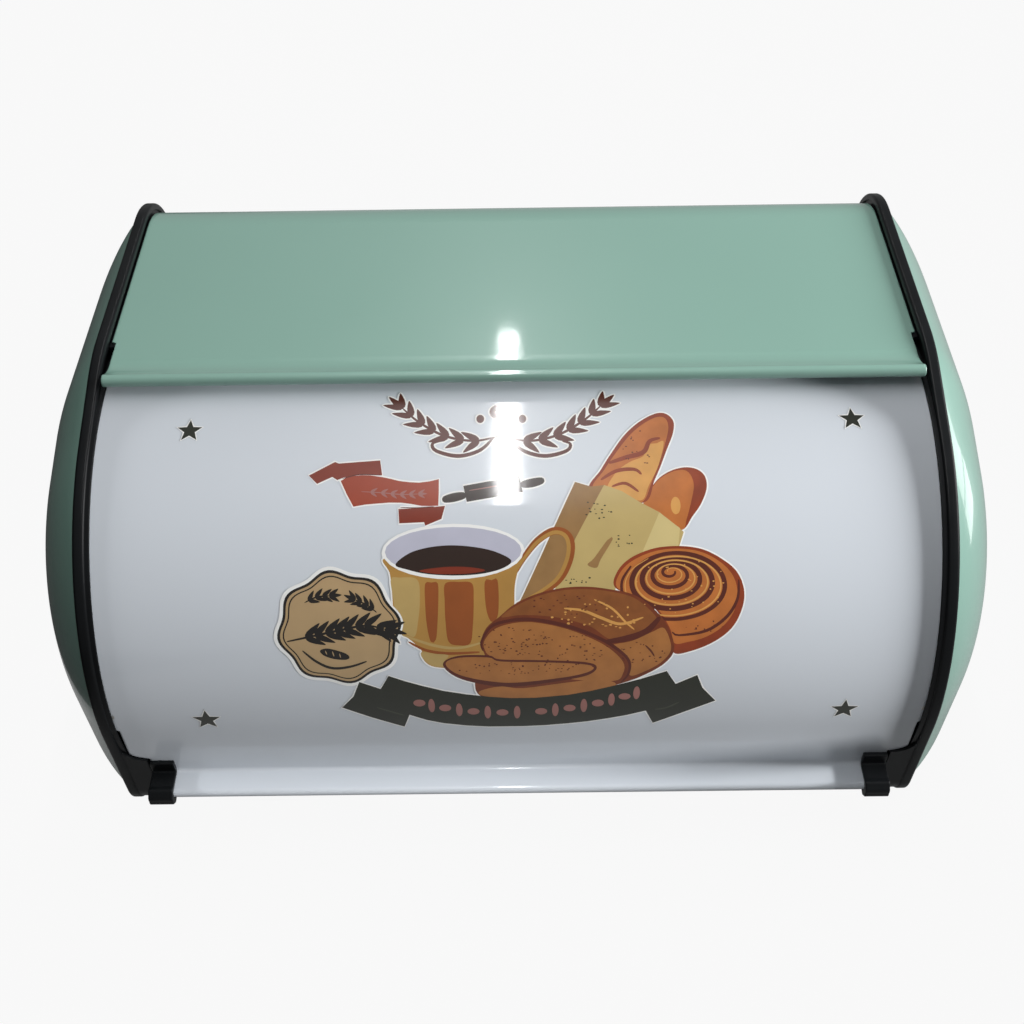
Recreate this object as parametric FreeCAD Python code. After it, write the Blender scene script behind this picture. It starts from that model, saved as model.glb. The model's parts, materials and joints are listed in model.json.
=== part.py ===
import FreeCAD, Part
import os
from math import acos, atan2, cos, degrees, hypot, radians, sin
from FreeCAD import Vector

# Bread box with a roll top, in millimetres.
# The shape is drawn about the lid's turning axis, which runs along X, and is
# moved at the end so that the origin lies under the middle of the box, on the
# surface it stands on. The front of the box faces -Y, up is +Z.

# ---- overall sizes of the side outline, from the lid's axis
frame_width = 310.0          # over the outer faces of the two side frames
arc_radius = 92.3            # crest of the frames' front arc
top_rise = 7.0               # crest of the level top above the arc's radius
rear_room = 34.3             # crest of the back behind the arc's radius
front_tuck = 2.6             # front crest at the base, behind the arc's radius
base_drop = 62.0             # crest of the base
rear_top_radius = 34.0       # corner between top and back
rear_base_radius = 15.0      # corner between back and base
front_base_radius = 18.0     # corner between front and base
top_blend_radius = 60.0      # easing from the ramp behind the arc into the top
top_blend_y = 15.3           # where the level top starts

# ---- painted sheet
sheet = 0.7                  # thickness of every steel sheet
sheet_drop = 4.0             # crest of the frame to the outside of the top sheet
lap_gap = 0.05               # between two sheets, or a sheet and what holds it
side_gap = 0.3               # sheet edge to the inner face of the frame's bead
seam_low = -40.0             # lower edge of the back sheet
seam_high = -28.0            # upper edge of the base pan behind it
lip_side_step = 1.5          # the lip is this much narrower each side
lip_step_y = 17.2            # where the top sheet gets narrower
lip_crease_radius = 3.0
lip_dip = 8.0                # degrees down from the crease
lip_rise = 38.0              # degrees up into the roll
lip_valley_radius = 14.8
lip_flat = 8.3               # level stretch from the start of the level top to the crease
lip_roll_radius = 2.3
lip_roll_turn = 262.0
sill_roll_radius = 1.6
sill_roll_turn = 235.0
sill_roll_drop = 0.3         # roll's top below the lid's flange
vent_radius = 2.5
vent_pitch = 12.0
vent_count = 9
vent_rows = 2
vent_height = 46.0           # middle of the vents above the lid's axis

# ---- side frame, moulded plastic
bead_width = 4.4
bead_depth = 2.6
bead_round = 1.1
web = 1.4
web_reach = 3.6              # web's inner face from the frame's outer face
ring_width = 12.0
ledge_reach = 6.0            # ledge's inner edge from the frame's outer face
ledge = 0.8
rail_reach = 7.5
rail = 2.4
shelf_reach = 10.6
shelf = 1.6
flange_groove = 1.15         # slot in the bead for the end panel's flange
track_low = -12.0            # degrees, front end of the track, 0 is straight forward
track_end_gap = 0.4          # lid's rear edge to the end of the track when open
track_stop = 3.0             # degrees that the track's end block spans
gusset_reach = 12.8          # gusset's inner edge from the frame's outer face
gusset_top = -13.0           # height of the gusset where it meets the bead
gusset = 1.8
gusset_sink = 0.5            # below the bead's crest
boss_radius = 3.2
boss_length = 7.0
end_gap = 0.1                # end panel's flange to the bottom of its groove

# ---- end panel, stamped sheet
panel_inset = 3.0            # crest of the frame to the panel's side
panel_bulge = 28.5
panel_power = 3.0            # how flat the middle is
panel_edge = 1.2             # how steep the edge is
panel_flange = 1.4           # width of the hidden flange outside the panel's side
panel_neck = 1.3             # straight side before the bulge starts
panel_centre_y = 0.0
panel_centre_z = 0.0
panel_rings = 13             # steps from the panel's side to its middle
panel_flat = 85.0            # degrees of the section's curve before the flat middle

# ---- lid
lid_clearance = 0.3          # lid to ledge, lid edge to web
lid_inset = 1.8              # arc crest to the lid's outside
lid_rear = 97.0              # degrees, rear edge of the closed lid
lid_tangent = -2.5           # degrees, where the lid's front runs on straight
lid_front = -30.7            # height of the flange's upper face
lid_side_step = 2.5          # front part is this much narrower each side
lid_wide_end = -1.0          # degrees, lower end of the wide part
lid_corner_gap = 0.5         # rounded lower corner to the gusset's hollow edge
lid_bend_radius = 1.5
flange_length = 7.2
lid_roll_radius = 1.9
lid_roll_turn = 215.0
lid_rear_hem = 9.0           # height of the folded strip along the rear edge
lid_travel = 95.0            # degrees

# ---- lid clips and glides
clip_width = 9.3
clip_end_gap = 0.7           # clip to gusset
clip = 1.7
clip_tab = 7.5               # height of the tab on the lid's face
clip_fit = 0.1
clip_roll = 2.7              # thickness around the flange's roll
clip_tail = 4.0
clip_corner = 0.5            # radius left in the clip's hollow corner
glide = 1.6                  # thickness of the pads under the lid's edges
glide_width = 3.2
glide_length = 8.0           # degrees along the track
glide_end = 1.0              # degrees from the pad to the end of the lid's edge
glide_fit = 0.2              # pad to rail
glide_side_gap = 0.3
glide_stud_radius = 1.2

# ---- feet and fasteners
foot_radius = 8.0
foot_drop = 3.0              # foot's bottom below the frames
foot_inset = 26.4            # middle of a foot to the inner edge of the frames' shelf
foot_front_y = -52.0
foot_rear_y = 89.0
foot_round = 1.0
stem_radius = 2.5
stem_head_radius = 3.6
stem_head = 2.2
stem_taper = 0.7
screw_head_radius = 2.8
screw_head = 1.5
screw_radius = 1.1
screw_length = 6.5
screw_inset = 3.2            # screws from the bead's inner face
screw_hole_gap = 0.4
screw_pilot_gap = 0.05
back_screw_heights = (58.0, -8.0)
base_screw_places = (-30.0, 66.0)
head_round = 0.65            # share of a head's height that is rounded
rivet_head_radius = 3.0
rivet_head = 1.1
rivet_tail_radius = 2.4
rivet_radius = 1.6
rivet_pitch = 56.0
rivet_count = 5

# ---- derived
half_width = frame_width / 2
top_height = arc_radius + top_rise
back_reach = arc_radius + rear_room
front_reach = arc_radius - front_tuck
far = 3 * (arc_radius + base_drop)
bead_in = half_width - bead_width
web_in = half_width - web_reach
web_out = web_in + web
ledge_in = half_width - ledge_reach
rail_in = half_width - rail_reach
shelf_in = half_width - shelf_reach
gusset_in = half_width - gusset_reach
sheet_half = bead_in - side_gap
lip_half = sheet_half - lip_side_step
base_inset = sheet_drop + sheet + lap_gap
top_outside = top_height - sheet_drop
lid_radius = arc_radius - lid_inset
lid_half = web_in - lid_clearance
lid_front_half = lid_half - lid_side_step
clip_out = gusset_in - clip_end_gap
clip_in = clip_out - clip_width
ledge_radius = lid_radius + lid_clearance
rail_radius = lid_radius - sheet - glide - glide_fit
track_high = lid_rear + lid_travel + degrees(track_end_gap / lid_radius)
glide_in = rail_in + glide_side_gap
base_outside = -(base_drop - base_inset)
foot_x = shelf_in - foot_inset
back_outside = back_reach - sheet_drop
screw_x = bead_in - screw_inset
flange_under = lid_front - sheet

corner_circles = (
    (0.0, 0.0, arc_radius),
    (top_blend_y, top_height - top_blend_radius, top_blend_radius),
    (back_reach - rear_top_radius, top_height - rear_top_radius, rear_top_radius),
    (back_reach - rear_base_radius, -base_drop + rear_base_radius, rear_base_radius),
    (-front_reach + front_base_radius, -base_drop + front_base_radius, front_base_radius),
)


def point(y, z):
    return Vector(0, y, z)


def on_arc(radius, angle):
    """Point at an angle up from straight forward."""
    return point(-radius * cos(radians(angle)), radius * sin(radians(angle)))


def tangent_normal(first, second):
    """Unit normal of the outer line that touches two circles, going round clockwise."""
    along_y, along_z = second[0] - first[0], second[1] - first[1]
    reach = hypot(along_y, along_z)
    turn = atan2(along_z, along_y) + acos((first[2] - second[2]) / reach)
    return cos(turn), sin(turn)


def outline(inset):
    """The side outline, a set distance inside the crest: arcs joined by tangent lines."""
    count = len(corner_circles)
    normals = []
    for i in range(count):
        normals.append(tangent_normal(corner_circles[i], corner_circles[(i + 1) % count]))
    edges = []
    for i in range(count):
        cy, cz, radius = corner_circles[i]
        r = radius - inset
        before, after = normals[i - 1], normals[i]
        start = point(cy + r * before[0], cz + r * before[1])
        end = point(cy + r * after[0], cz + r * after[1])
        mid_y, mid_z = before[0] + after[0], before[1] + after[1]
        size = hypot(mid_y, mid_z)
        middle = point(cy + r * mid_y / size, cz + r * mid_z / size)
        edges.append(Part.Arc(start, middle, end).toShape())
        ny, nz, next_radius = corner_circles[(i + 1) % count]
        reach = next_radius - inset
        edges.append(Part.makeLine(end, point(ny + reach * after[0], nz + reach * after[1])))
    return Part.Wire(edges)


def plate(inset):
    return Part.Face(outline(inset))


def band(outer_inset, inner_inset):
    """Flat ring between two insets of the side outline."""
    return plate(outer_inset).cut(plate(inner_inset))


def polygon(*corners):
    points = [point(y, z) for y, z in corners]
    return Part.Face(Part.makePolygon(points + points[:1]))


def block(y_low, y_high, z_low, z_high):
    return polygon((y_low, z_low), (y_high, z_low), (y_high, z_high), (y_low, z_high))


def arc_band(r_in, r_out, low, high):
    """Flat strip along the lid's arc."""
    middle = (low + high) / 2
    outer = Part.Arc(on_arc(r_out, low), on_arc(r_out, middle), on_arc(r_out, high)).toShape()
    inner = Part.Arc(on_arc(r_in, high), on_arc(r_in, middle), on_arc(r_in, low)).toShape()
    ends = [Part.makeLine(on_arc(r_out, high), on_arc(r_in, high)),
            Part.makeLine(on_arc(r_in, low), on_arc(r_out, low))]
    return Part.Face(Part.Wire([outer, ends[0], inner, ends[1]]))


def prism(face, x_low, x_high):
    """Face in the side plane, made solid between two X places."""
    moved = face.copy()
    moved.translate(Vector(x_low, 0, 0))
    return moved.extrude(Vector(x_high - x_low, 0, 0))


def both_sides(face, half):
    return prism(face, -half, half)


def beside(station, distance):
    """Point to the left of a path's station."""
    y, z, heading = station
    return point(y - distance * sin(radians(heading)), z + distance * cos(radians(heading)))


def step(station, move):
    """Next station of a path after a ("run", length) or a ("bend", radius, degrees)."""
    y, z, heading = station
    if move[0] == "run":
        return y + move[1] * cos(radians(heading)), z + move[1] * sin(radians(heading)), heading
    reach = move[1] if move[2] > 0 else -move[1]
    centre = beside(station, reach)
    turned = heading + move[2]
    spot = beside((centre.y, centre.z, turned), -reach)
    return spot.y, spot.z, turned


def walk(station, moves):
    for move in moves:
        station = step(station, move)
    return station


def side_edge(station, move, distance):
    """Edge beside one move of a path."""
    last = step(station, move)
    start, end = beside(station, distance), beside(last, distance)
    if move[0] == "run":
        return Part.makeLine(start, end)
    middle = beside(step(station, (move[0], move[1], move[2] / 2)), distance)
    return Part.Arc(start, middle, end).toShape()


def strip(station, moves, left, right):
    """Section of a bent strip that reaches a set distance to each side of its path."""
    first = station
    edges = []
    for move in moves:
        edges.append(side_edge(station, move, left))
        edges.append(side_edge(station, move, -right))
        station = step(station, move)
    for end in (first, station):
        edges.append(Part.makeLine(beside(end, left), beside(end, -right)))
    return Part.Face(Part.Wire(Part.__sortEdges__(edges)))


def pin(x, y, z, direction, radius, length):
    return Part.makeCylinder(radius, length, Vector(x, y, z), direction)


def mirrored(shape):
    return shape.mirror(Vector(0, 0, 0), Vector(1, 0, 0))


def lid_start():
    edge = on_arc(lid_radius, lid_rear)
    return edge.y, edge.z, 270 - lid_rear


def lid_moves():
    """Bends of the lid, along its outer face from the rear edge to the flange's roll."""
    tangent = on_arc(lid_radius, lid_tangent)
    bend_drop = lid_bend_radius * (1 + sin(radians(-lid_tangent)))
    run = (tangent.z - lid_front - bend_drop) / cos(radians(lid_tangent))
    return [("bend", lid_radius, lid_rear - lid_tangent),
            ("run", run),
            ("bend", lid_bend_radius, lid_tangent - 90),
            ("run", flange_length),
            ("bend", lid_roll_radius, lid_roll_turn)]


def roll_start():
    """Where the flange starts to roll over: y and z of its upper face."""
    y, z, heading = walk(lid_start(), lid_moves()[:4])
    return y, z


def make_back_sheet():
    lip = strip((top_blend_y, top_outside, 180),
                [("run", lip_flat), ("bend", lip_crease_radius, lip_dip),
                 ("bend", lip_valley_radius, -(lip_dip + lip_rise)),
                 ("bend", lip_roll_radius, lip_roll_turn)], sheet, 0)
    wide = band(sheet_drop, sheet_drop + sheet)
    wide = wide.cut(block(-far, lip_step_y, -far, far))
    wide = wide.cut(block(-far, far, -far, seam_low))
    narrow = block(top_blend_y, lip_step_y, top_outside - sheet, top_outside)
    body = both_sides(wide, sheet_half).fuse(both_sides(narrow.fuse(lip), lip_half))
    return drilled(body.removeSplitter(), back_holes() + vents())


def drilled(body, holes):
    for hole in holes:
        body = body.cut(hole)
    return body


def back_hole(x, z, radius, length=shelf_reach):
    return pin(x, back_reach, z, Vector(0, -1, 0), radius, length)


def base_hole(x, y, radius, length=shelf_reach):
    return pin(x, y, -base_drop, Vector(0, 0, 1), radius, length)


def vents():
    holes = []
    for row in range(vent_rows):
        for i in range(vent_count):
            x = (i - (vent_count - 1) / 2) * vent_pitch
            z = vent_height + (row - (vent_rows - 1) / 2) * vent_pitch
            holes.append(back_hole(x, z, vent_radius))
    return holes


def back_holes():
    radius = screw_radius + screw_hole_gap
    return [back_hole(x, z, radius) for x in (-screw_x, screw_x)
            for z in back_screw_heights] + rivet_holes()


def rivet_places():
    z = (seam_low + seam_high) / 2
    return [((i - (rivet_count - 1) / 2) * rivet_pitch, z) for i in range(rivet_count)]


def rivet_holes():
    return [back_hole(x, z, rivet_radius + lap_gap) for x, z in rivet_places()]


def make_base_pan():
    roll_z = flange_under - sill_roll_drop - sill_roll_radius
    face = band(base_inset, base_inset + sheet)
    face = face.cut(block(-far, 0, roll_z, far))
    face = face.cut(block(0, far, seam_high, far))
    start_z = roll_z - sheet
    roll = strip((front_line_y(base_inset, start_z), start_z, 90 + front_lean()),
                 [("run", sheet / cos(radians(front_lean()))),
                  ("bend", sill_roll_radius - sheet, sill_roll_turn)], 0, sheet)
    pan = both_sides(face, sheet_half).fuse(both_sides(roll, gusset_in - side_gap))
    return drilled(pan.removeSplitter(), rivet_holes() + base_holes())


def front_lean():
    """Degrees that the front line leans forward on its way up."""
    normal = tangent_normal(corner_circles[-1], corner_circles[0])
    return degrees(atan2(-normal[1], -normal[0]))


def front_line_y(inset, z):
    """Place of the front line at a height."""
    cy, cz, radius = corner_circles[-1]
    ny, nz = tangent_normal(corner_circles[-1], corner_circles[0])
    return (cy * ny + cz * nz + radius - inset - nz * z) / ny


def feet_places():
    return [(x, y) for y in (foot_front_y, foot_rear_y) for x in (-foot_x, foot_x)]


def base_holes():
    stems = [base_hole(x, y, stem_radius + lap_gap) for x, y in feet_places()]
    radius = screw_radius + screw_hole_gap
    return stems + [base_hole(x, y, radius) for x in (-screw_x, screw_x)
                    for y in base_screw_places]


def make_end_panel():
    """Domed panel: a hidden flange in the frame's groove, a short side and the bulge."""
    flange_x = web_out + lap_gap
    neck_out = flange_x + panel_neck

    def solid(inset, bulge):
        rings = []
        for i in range(panel_rings):
            share = cos(radians(panel_flat * i / (panel_rings - 1))) ** (2 / panel_power)
            ring = outline(inset)
            ring.scale(share, point(panel_centre_y, panel_centre_z))
            rise = bulge * (1 - share ** panel_power) ** (1 / panel_edge)
            ring.translate(Vector(neck_out + rise, 0, 0))
            rings.append(ring)
        return prism(plate(inset), flange_x, neck_out).fuse(Part.makeLoft(rings, True, True))

    flange = prism(plate(panel_inset - panel_flange), flange_x, flange_x + sheet)
    outer = solid(panel_inset, panel_bulge).fuse(flange)
    return outer.cut(solid(panel_inset + sheet, panel_bulge - sheet)).removeSplitter()


def make_side_frame():
    """Right side frame: web, bead, arc track, sheet shelves, gusset and screw bosses."""
    track = (track_low, track_high)
    ledge_out = ledge_radius + ledge
    web_face = band(0, ring_width).fuse(arc_band(rail_radius - rail, ledge_out, track_low,
                                                 track_high + track_stop))
    parts = [make_bead(),
             prism(arc_band(ledge_radius, ledge_out, *track), ledge_in, web_in),
             prism(arc_band(rail_radius - rail, rail_radius, *track), rail_in, web_in),
             prism(arc_band(rail_radius - rail, ledge_out, track_high, track_high + track_stop),
                   rail_in, web_in),
             make_gusset()]
    frame = prism(web_face, web_in, web_out).fuse(parts + shelves() + bosses())
    return drilled(frame, pilot_holes()).removeSplitter()


def make_bead():
    """Rounded outer edge, with a groove for the end panel and room for the lid's edge."""
    bead = prism(band(0, bead_depth), bead_in, half_width)
    bead = bead.makeFillet(bead_round, [e for e in bead.Edges if lies_on_crest(e)])
    groove = band(panel_inset - panel_flange - end_gap, 2 * bead_depth)
    bead = bead.cut(prism(groove, web_out, web_out + flange_groove))
    return bead.cut(prism(arc_band(rail_radius, ledge_radius, track_low, track_high),
                          rail_in, web_in))


def shelves():
    """What the edges of the two sheets lie on; the base pan lies one sheet deeper."""
    upper_top = sheet_drop + sheet + lap_gap
    lower_top = base_inset + sheet + lap_gap
    upper = band(upper_top, upper_top + shelf).common(block(top_blend_y, far, seam_high, far))
    lower = band(lower_top, lower_top + shelf).common(block(-far, far, -far, seam_high))
    lower = lower.cut(block(-far, 0, flange_under - 3 * sill_roll_radius, far))
    return [prism(face, shelf_in, web_in) for face in (upper, lower)]


def lies_on_crest(edge):
    """True for the bead's edges on the outline's crest."""
    spot = edge.valueAt((edge.FirstParameter + edge.LastParameter) / 2)
    flat = Part.Vertex(point(spot.y, spot.z))
    along = edge.BoundBox.XLength < bead_round
    return along and flat.distToShape(outline(0))[0] < lap_gap


def make_gusset():
    """Corner plate beside the lid's clip, with a hollow upper edge."""
    face = band(gusset_sink, gusset_sink + gusset)
    corner_y = -front_reach + front_base_radius
    face = face.common(block(-far, corner_y, -far, gusset_top))
    body = prism(face, gusset_in, web_in)
    hollow = pin(gusset_in, -far, gusset_top, Vector(0, 1, 0), web_in - gusset_in, far)
    return body.cut(hollow)


def bosses():
    shelf_back = back_reach - (sheet_drop + sheet + lap_gap)
    shelf_base = -base_drop + base_inset + sheet + lap_gap
    back = [pin(screw_x, shelf_back, z, Vector(0, -1, 0), boss_radius, boss_length)
            for z in back_screw_heights]
    base = [pin(screw_x, y, shelf_base, Vector(0, 0, 1), boss_radius, boss_length)
            for y in base_screw_places]
    return back + base


def pilot_holes():
    radius = screw_radius + screw_pilot_gap
    length = boss_length + base_inset
    return [back_hole(screw_x, z, radius, length) for z in back_screw_heights] + \
        [base_hole(screw_x, y, radius, length) for y in base_screw_places]


def make_lid():
    """Curved sheet with a folded rear edge, round lower corners and a rolled flange."""
    body = both_sides(strip(lid_start(), lid_moves(), sheet, 0), lid_half)
    cutter = corner_cutter()
    body = body.cut(cutter).cut(mirrored(cutter))
    hem_low = lid_rear - degrees(lid_rear_hem / lid_radius)
    hem = arc_band(lid_radius - 2 * sheet, lid_radius - sheet, hem_low, lid_rear)
    body = body.fuse(both_sides(hem, rail_in - glide_side_gap)).removeSplitter()
    studs = [glide_stud(angle, glide_stud_radius + lap_gap) for angle in glide_angles()]
    return drilled(body, studs + [mirrored(stud) for stud in studs])


def corner_cutter():
    """Takes the lid's lower corner off: narrower beside the frame, round at the gusset."""
    low, high = -far, on_arc(lid_radius, lid_wide_end).z
    side = Part.makeBox(far, far, high - low, Vector(lid_front_half, -far, low))
    corner = Part.makeBox(far, far, gusset_top - low, Vector(clip_out, -far, low))
    radius = web_in - gusset_in - lid_corner_gap
    keep = pin(gusset_in, -far, gusset_top, Vector(0, 1, 0), radius, far)
    return side.fuse(corner.cut(keep))


def make_clip():
    """Wraps the end of the lid's flange: tab on the lid's face, flange cover and roll."""
    lean = -lid_tangent
    roll_y, roll_z = roll_start()
    tangent_y, tangent_z, heading = walk(lid_start(), lid_moves()[:1])
    top_z = lid_front + clip_tab
    face_y = tangent_y + (tangent_z - top_z) * sin(radians(lean)) / cos(radians(lean))
    start = (face_y - clip_fit, top_z, 270 + lean)
    bend = clip + clip_corner
    down = clip_tab - clip_fit - bend * (1 + sin(radians(lean)))
    tab = [("run", down / cos(radians(lean))), ("bend", bend, -(90 + lean))]
    cover = walk(start, tab)[0] - roll_y
    roll_radius = lid_roll_radius + clip_fit
    upper = strip(start, tab + [("run", cover)], 0, clip)
    roll = strip((roll_y, roll_z + clip_fit, 180), [("bend", roll_radius, 180)], 0, clip_roll)
    under = roll_z - lid_roll_radius - roll_radius
    tail = strip((roll_y, under, 0), [("run", clip_tail)], 0, clip)
    return prism(upper.fuse([roll, tail]).removeSplitter(), clip_in, clip_out)


def glide_angles():
    room = glide_length / 2 + glide_end
    return lid_wide_end + room, lid_rear - room


def make_glide(angle):
    """Pad under the lid's edge that runs on the frame's rail."""
    outer = lid_radius - sheet - lap_gap
    half = glide_length / 2
    face = arc_band(lid_radius - sheet - glide, outer, angle - half, angle + half)
    pad = prism(face, glide_in, glide_in + glide_width)
    return pad.fuse(glide_stud(angle, glide_stud_radius)).removeSplitter()


def glide_stud(angle, radius):
    """Stud that holds the pad in the lid, flush with its outside."""
    inner = lid_radius - sheet - glide / 2
    foot = on_arc(inner, angle)
    return pin(glide_in + glide_width / 2, foot.y, foot.z, on_arc(1, angle), radius,
               lid_radius - inner)


def make_foot(x, y):
    """Rubber foot with a stem pushed through the base."""
    up = Vector(0, 0, 1)
    bottom = -(base_drop + foot_drop)
    body = pin(x, y, bottom, up, foot_radius, base_outside - lap_gap - bottom)
    body = body.makeFillet(foot_round, far_rims(body, Vector(x, y, base_outside), 2 * foot_round))
    inside = base_outside + sheet + lap_gap
    stem = pin(x, y, base_outside - lap_gap, up, stem_radius, sheet + 2 * lap_gap)
    head = Part.makeCone(stem_head_radius, stem_radius * stem_taper, stem_head,
                         Vector(x, y, inside), up)
    return body.fuse([stem, head]).removeSplitter()


def far_rims(body, seat, reach):
    """Round edges of a turned body that lie beyond a distance from its seat."""
    return [e for e in body.Edges if e.isClosed() and (e.CenterOfMass - seat).Length > reach]


def make_screw(x, y, z, inward):
    """Round-head screw with its head seated on the outside of the sheet."""
    seat = Vector(x, y, z) - inward * lap_gap
    head = Part.makeCylinder(screw_head_radius, screw_head, seat - inward * screw_head, inward)
    head = head.makeFillet(screw_head * head_round, far_rims(head, seat, screw_head / 2))
    shank = Part.makeCylinder(screw_radius, screw_length, seat, inward)
    return head.fuse(shank).removeSplitter()


def make_rivet(x, z):
    """Rivet through the lap of the two sheets: outer head, shank and inner head."""
    out = Vector(0, 1, 0)
    outside = back_outside + lap_gap
    inside = back_outside - 2 * sheet - 2 * lap_gap
    head = pin(x, outside, z, out, rivet_head_radius, rivet_head)
    rims = far_rims(head, Vector(x, outside, z), rivet_head / 2)
    head = head.makeFillet(rivet_head * head_round, rims)
    shank = pin(x, inside, z, out, rivet_radius, outside - inside)
    tail = pin(x, inside - rivet_head, z, out, rivet_tail_radius, rivet_head)
    return head.fuse([shank, tail]).removeSplitter()


def screws(places, inward):
    return Part.makeCompound([make_screw(x, y, z, inward) for x, y, z in places])


def build():
    """Every node, about the lid's axis."""
    frame = make_side_frame()
    panel = make_end_panel()
    clip_right = make_clip()
    nodes = {
        "back_sheet": make_back_sheet(),
        "base_pan": make_base_pan(),
        "side_frame_left": mirrored(frame),
        "side_frame_right": frame,
        "end_panel_left": mirrored(panel),
        "end_panel_right": panel,
        "lid": make_lid(),
        "lid_clip_left": mirrored(clip_right),
        "lid_clip_right": clip_right,
    }
    for place, angle in zip(("front", "rear"), glide_angles()):
        pad = make_glide(angle)
        nodes["glide_" + place + "_left"] = mirrored(pad)
        nodes["glide_" + place + "_right"] = pad
    for name, (x, y) in zip(("front_left", "front_right", "rear_left", "rear_right"),
                            feet_places()):
        nodes["foot_" + name] = make_foot(x, y)
    sides = (-screw_x, screw_x)
    nodes["back_screws"] = screws([(x, back_outside, z) for x in sides
                                   for z in back_screw_heights], Vector(0, -1, 0))
    nodes["base_screws"] = screws([(x, y, base_outside) for x in sides
                                   for y in base_screw_places], Vector(0, 0, 1))
    nodes["seam_rivets"] = Part.makeCompound([make_rivet(x, z) for x, z in rivet_places()])
    return nodes


def clip_front():
    return roll_start()[0] - lid_roll_radius - clip_fit - clip_roll


axis_y = -(back_reach + clip_front()) / 2
axis_z = base_drop + foot_drop
os.makedirs("parts", exist_ok=True)
for node, shape in build().items():
    shape.translate(Vector(0, axis_y, axis_z))
    shape.exportStep("parts/" + node + ".step")
    print(node, "solids", len(shape.Solids), "valid", shape.isValid(), "volume",
          round(shape.Volume, 1))
print("lid axis y", round(axis_y, 3), "z", axis_z)
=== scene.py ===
import json
import math
import random

import bmesh
import bpy
from mathutils import Matrix, Vector
from mathutils.geometry import delaunay_2d_cdt


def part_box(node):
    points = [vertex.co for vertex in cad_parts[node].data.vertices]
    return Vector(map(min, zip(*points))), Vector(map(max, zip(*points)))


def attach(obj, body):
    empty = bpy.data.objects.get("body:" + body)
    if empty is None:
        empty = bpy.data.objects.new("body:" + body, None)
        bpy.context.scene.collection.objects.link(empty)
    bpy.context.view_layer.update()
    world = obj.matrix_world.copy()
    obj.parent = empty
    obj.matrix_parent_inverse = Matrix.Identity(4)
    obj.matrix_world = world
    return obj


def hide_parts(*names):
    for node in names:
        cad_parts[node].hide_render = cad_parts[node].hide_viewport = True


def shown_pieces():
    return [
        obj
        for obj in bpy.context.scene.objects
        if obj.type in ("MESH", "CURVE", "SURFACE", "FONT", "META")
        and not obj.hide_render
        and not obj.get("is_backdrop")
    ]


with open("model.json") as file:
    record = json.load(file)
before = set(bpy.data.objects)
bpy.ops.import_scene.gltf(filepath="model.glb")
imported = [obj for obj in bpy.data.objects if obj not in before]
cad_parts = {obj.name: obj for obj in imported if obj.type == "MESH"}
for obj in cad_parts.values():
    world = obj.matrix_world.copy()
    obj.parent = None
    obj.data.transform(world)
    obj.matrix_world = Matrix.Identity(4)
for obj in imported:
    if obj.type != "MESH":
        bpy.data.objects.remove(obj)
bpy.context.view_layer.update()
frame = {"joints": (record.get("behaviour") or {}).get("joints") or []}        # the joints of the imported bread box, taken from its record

mm = 0.001
axis = Vector(frame["joints"][0]["pos_m"])      # the lid turns about this line, along X
scene = bpy.context.scene


def cadEdge(node, corner, way):
    # one face of a CAD node's box, in millimetres about the lid's axis
    return (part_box(node)[corner][way] - axis[way]) / mm


# sizes in millimetres about the lid's axis, front towards -Y
shell = {
    "halfWidth": cadEdge("side_frame_right", 1, 0),
    "backReach": cadEdge("side_frame_right", 1, 1),
    "topHeight": cadEdge("side_frame_right", 1, 2),
    "baseDrop": -cadEdge("side_frame_right", 0, 2),
    "arcRadius": 92.3,
    "frontTuck": 2.6,
    "topBlendRadius": 60.0,
    "topBlendY": 15.3,
    "rearTopRadius": 34.0,
    "rearBaseRadius": 15.0,
    "frontBaseRadius": 18.0,
    "sheet": 0.7,           # thickness of the painted steel
    "sheetDrop": 4.0,       # from the frames' crest to the top sheet
    "lapGap": 0.05,
    "sheetHalf": cadEdge("back_sheet", 1, 0),
    "seamLow": -40.0,
    "seamHigh": -28.0,
}
sheet = shell["sheet"]
halfWidth = shell["halfWidth"]


def sideCircles():
    s = shell
    top, back, base = s["topHeight"], s["backReach"], s["baseDrop"]
    front = s["arcRadius"] - s["frontTuck"]
    return [
        (0.0, 0.0, s["arcRadius"]),
        (s["topBlendY"], top - s["topBlendRadius"], s["topBlendRadius"]),
        (back - s["rearTopRadius"], top - s["rearTopRadius"], s["rearTopRadius"]),
        (back - s["rearBaseRadius"], -base + s["rearBaseRadius"], s["rearBaseRadius"]),
        (-front + s["frontBaseRadius"], -base + s["frontBaseRadius"], s["frontBaseRadius"]),
    ]


def touchAngle(first, second):
    # direction of the line that touches two circles on the outside, going round clockwise
    alongY, alongZ = second[0] - first[0], second[1] - first[1]
    return math.atan2(alongZ, alongY) + math.acos((first[2] - second[2]) / math.hypot(alongY, alongZ))


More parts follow.
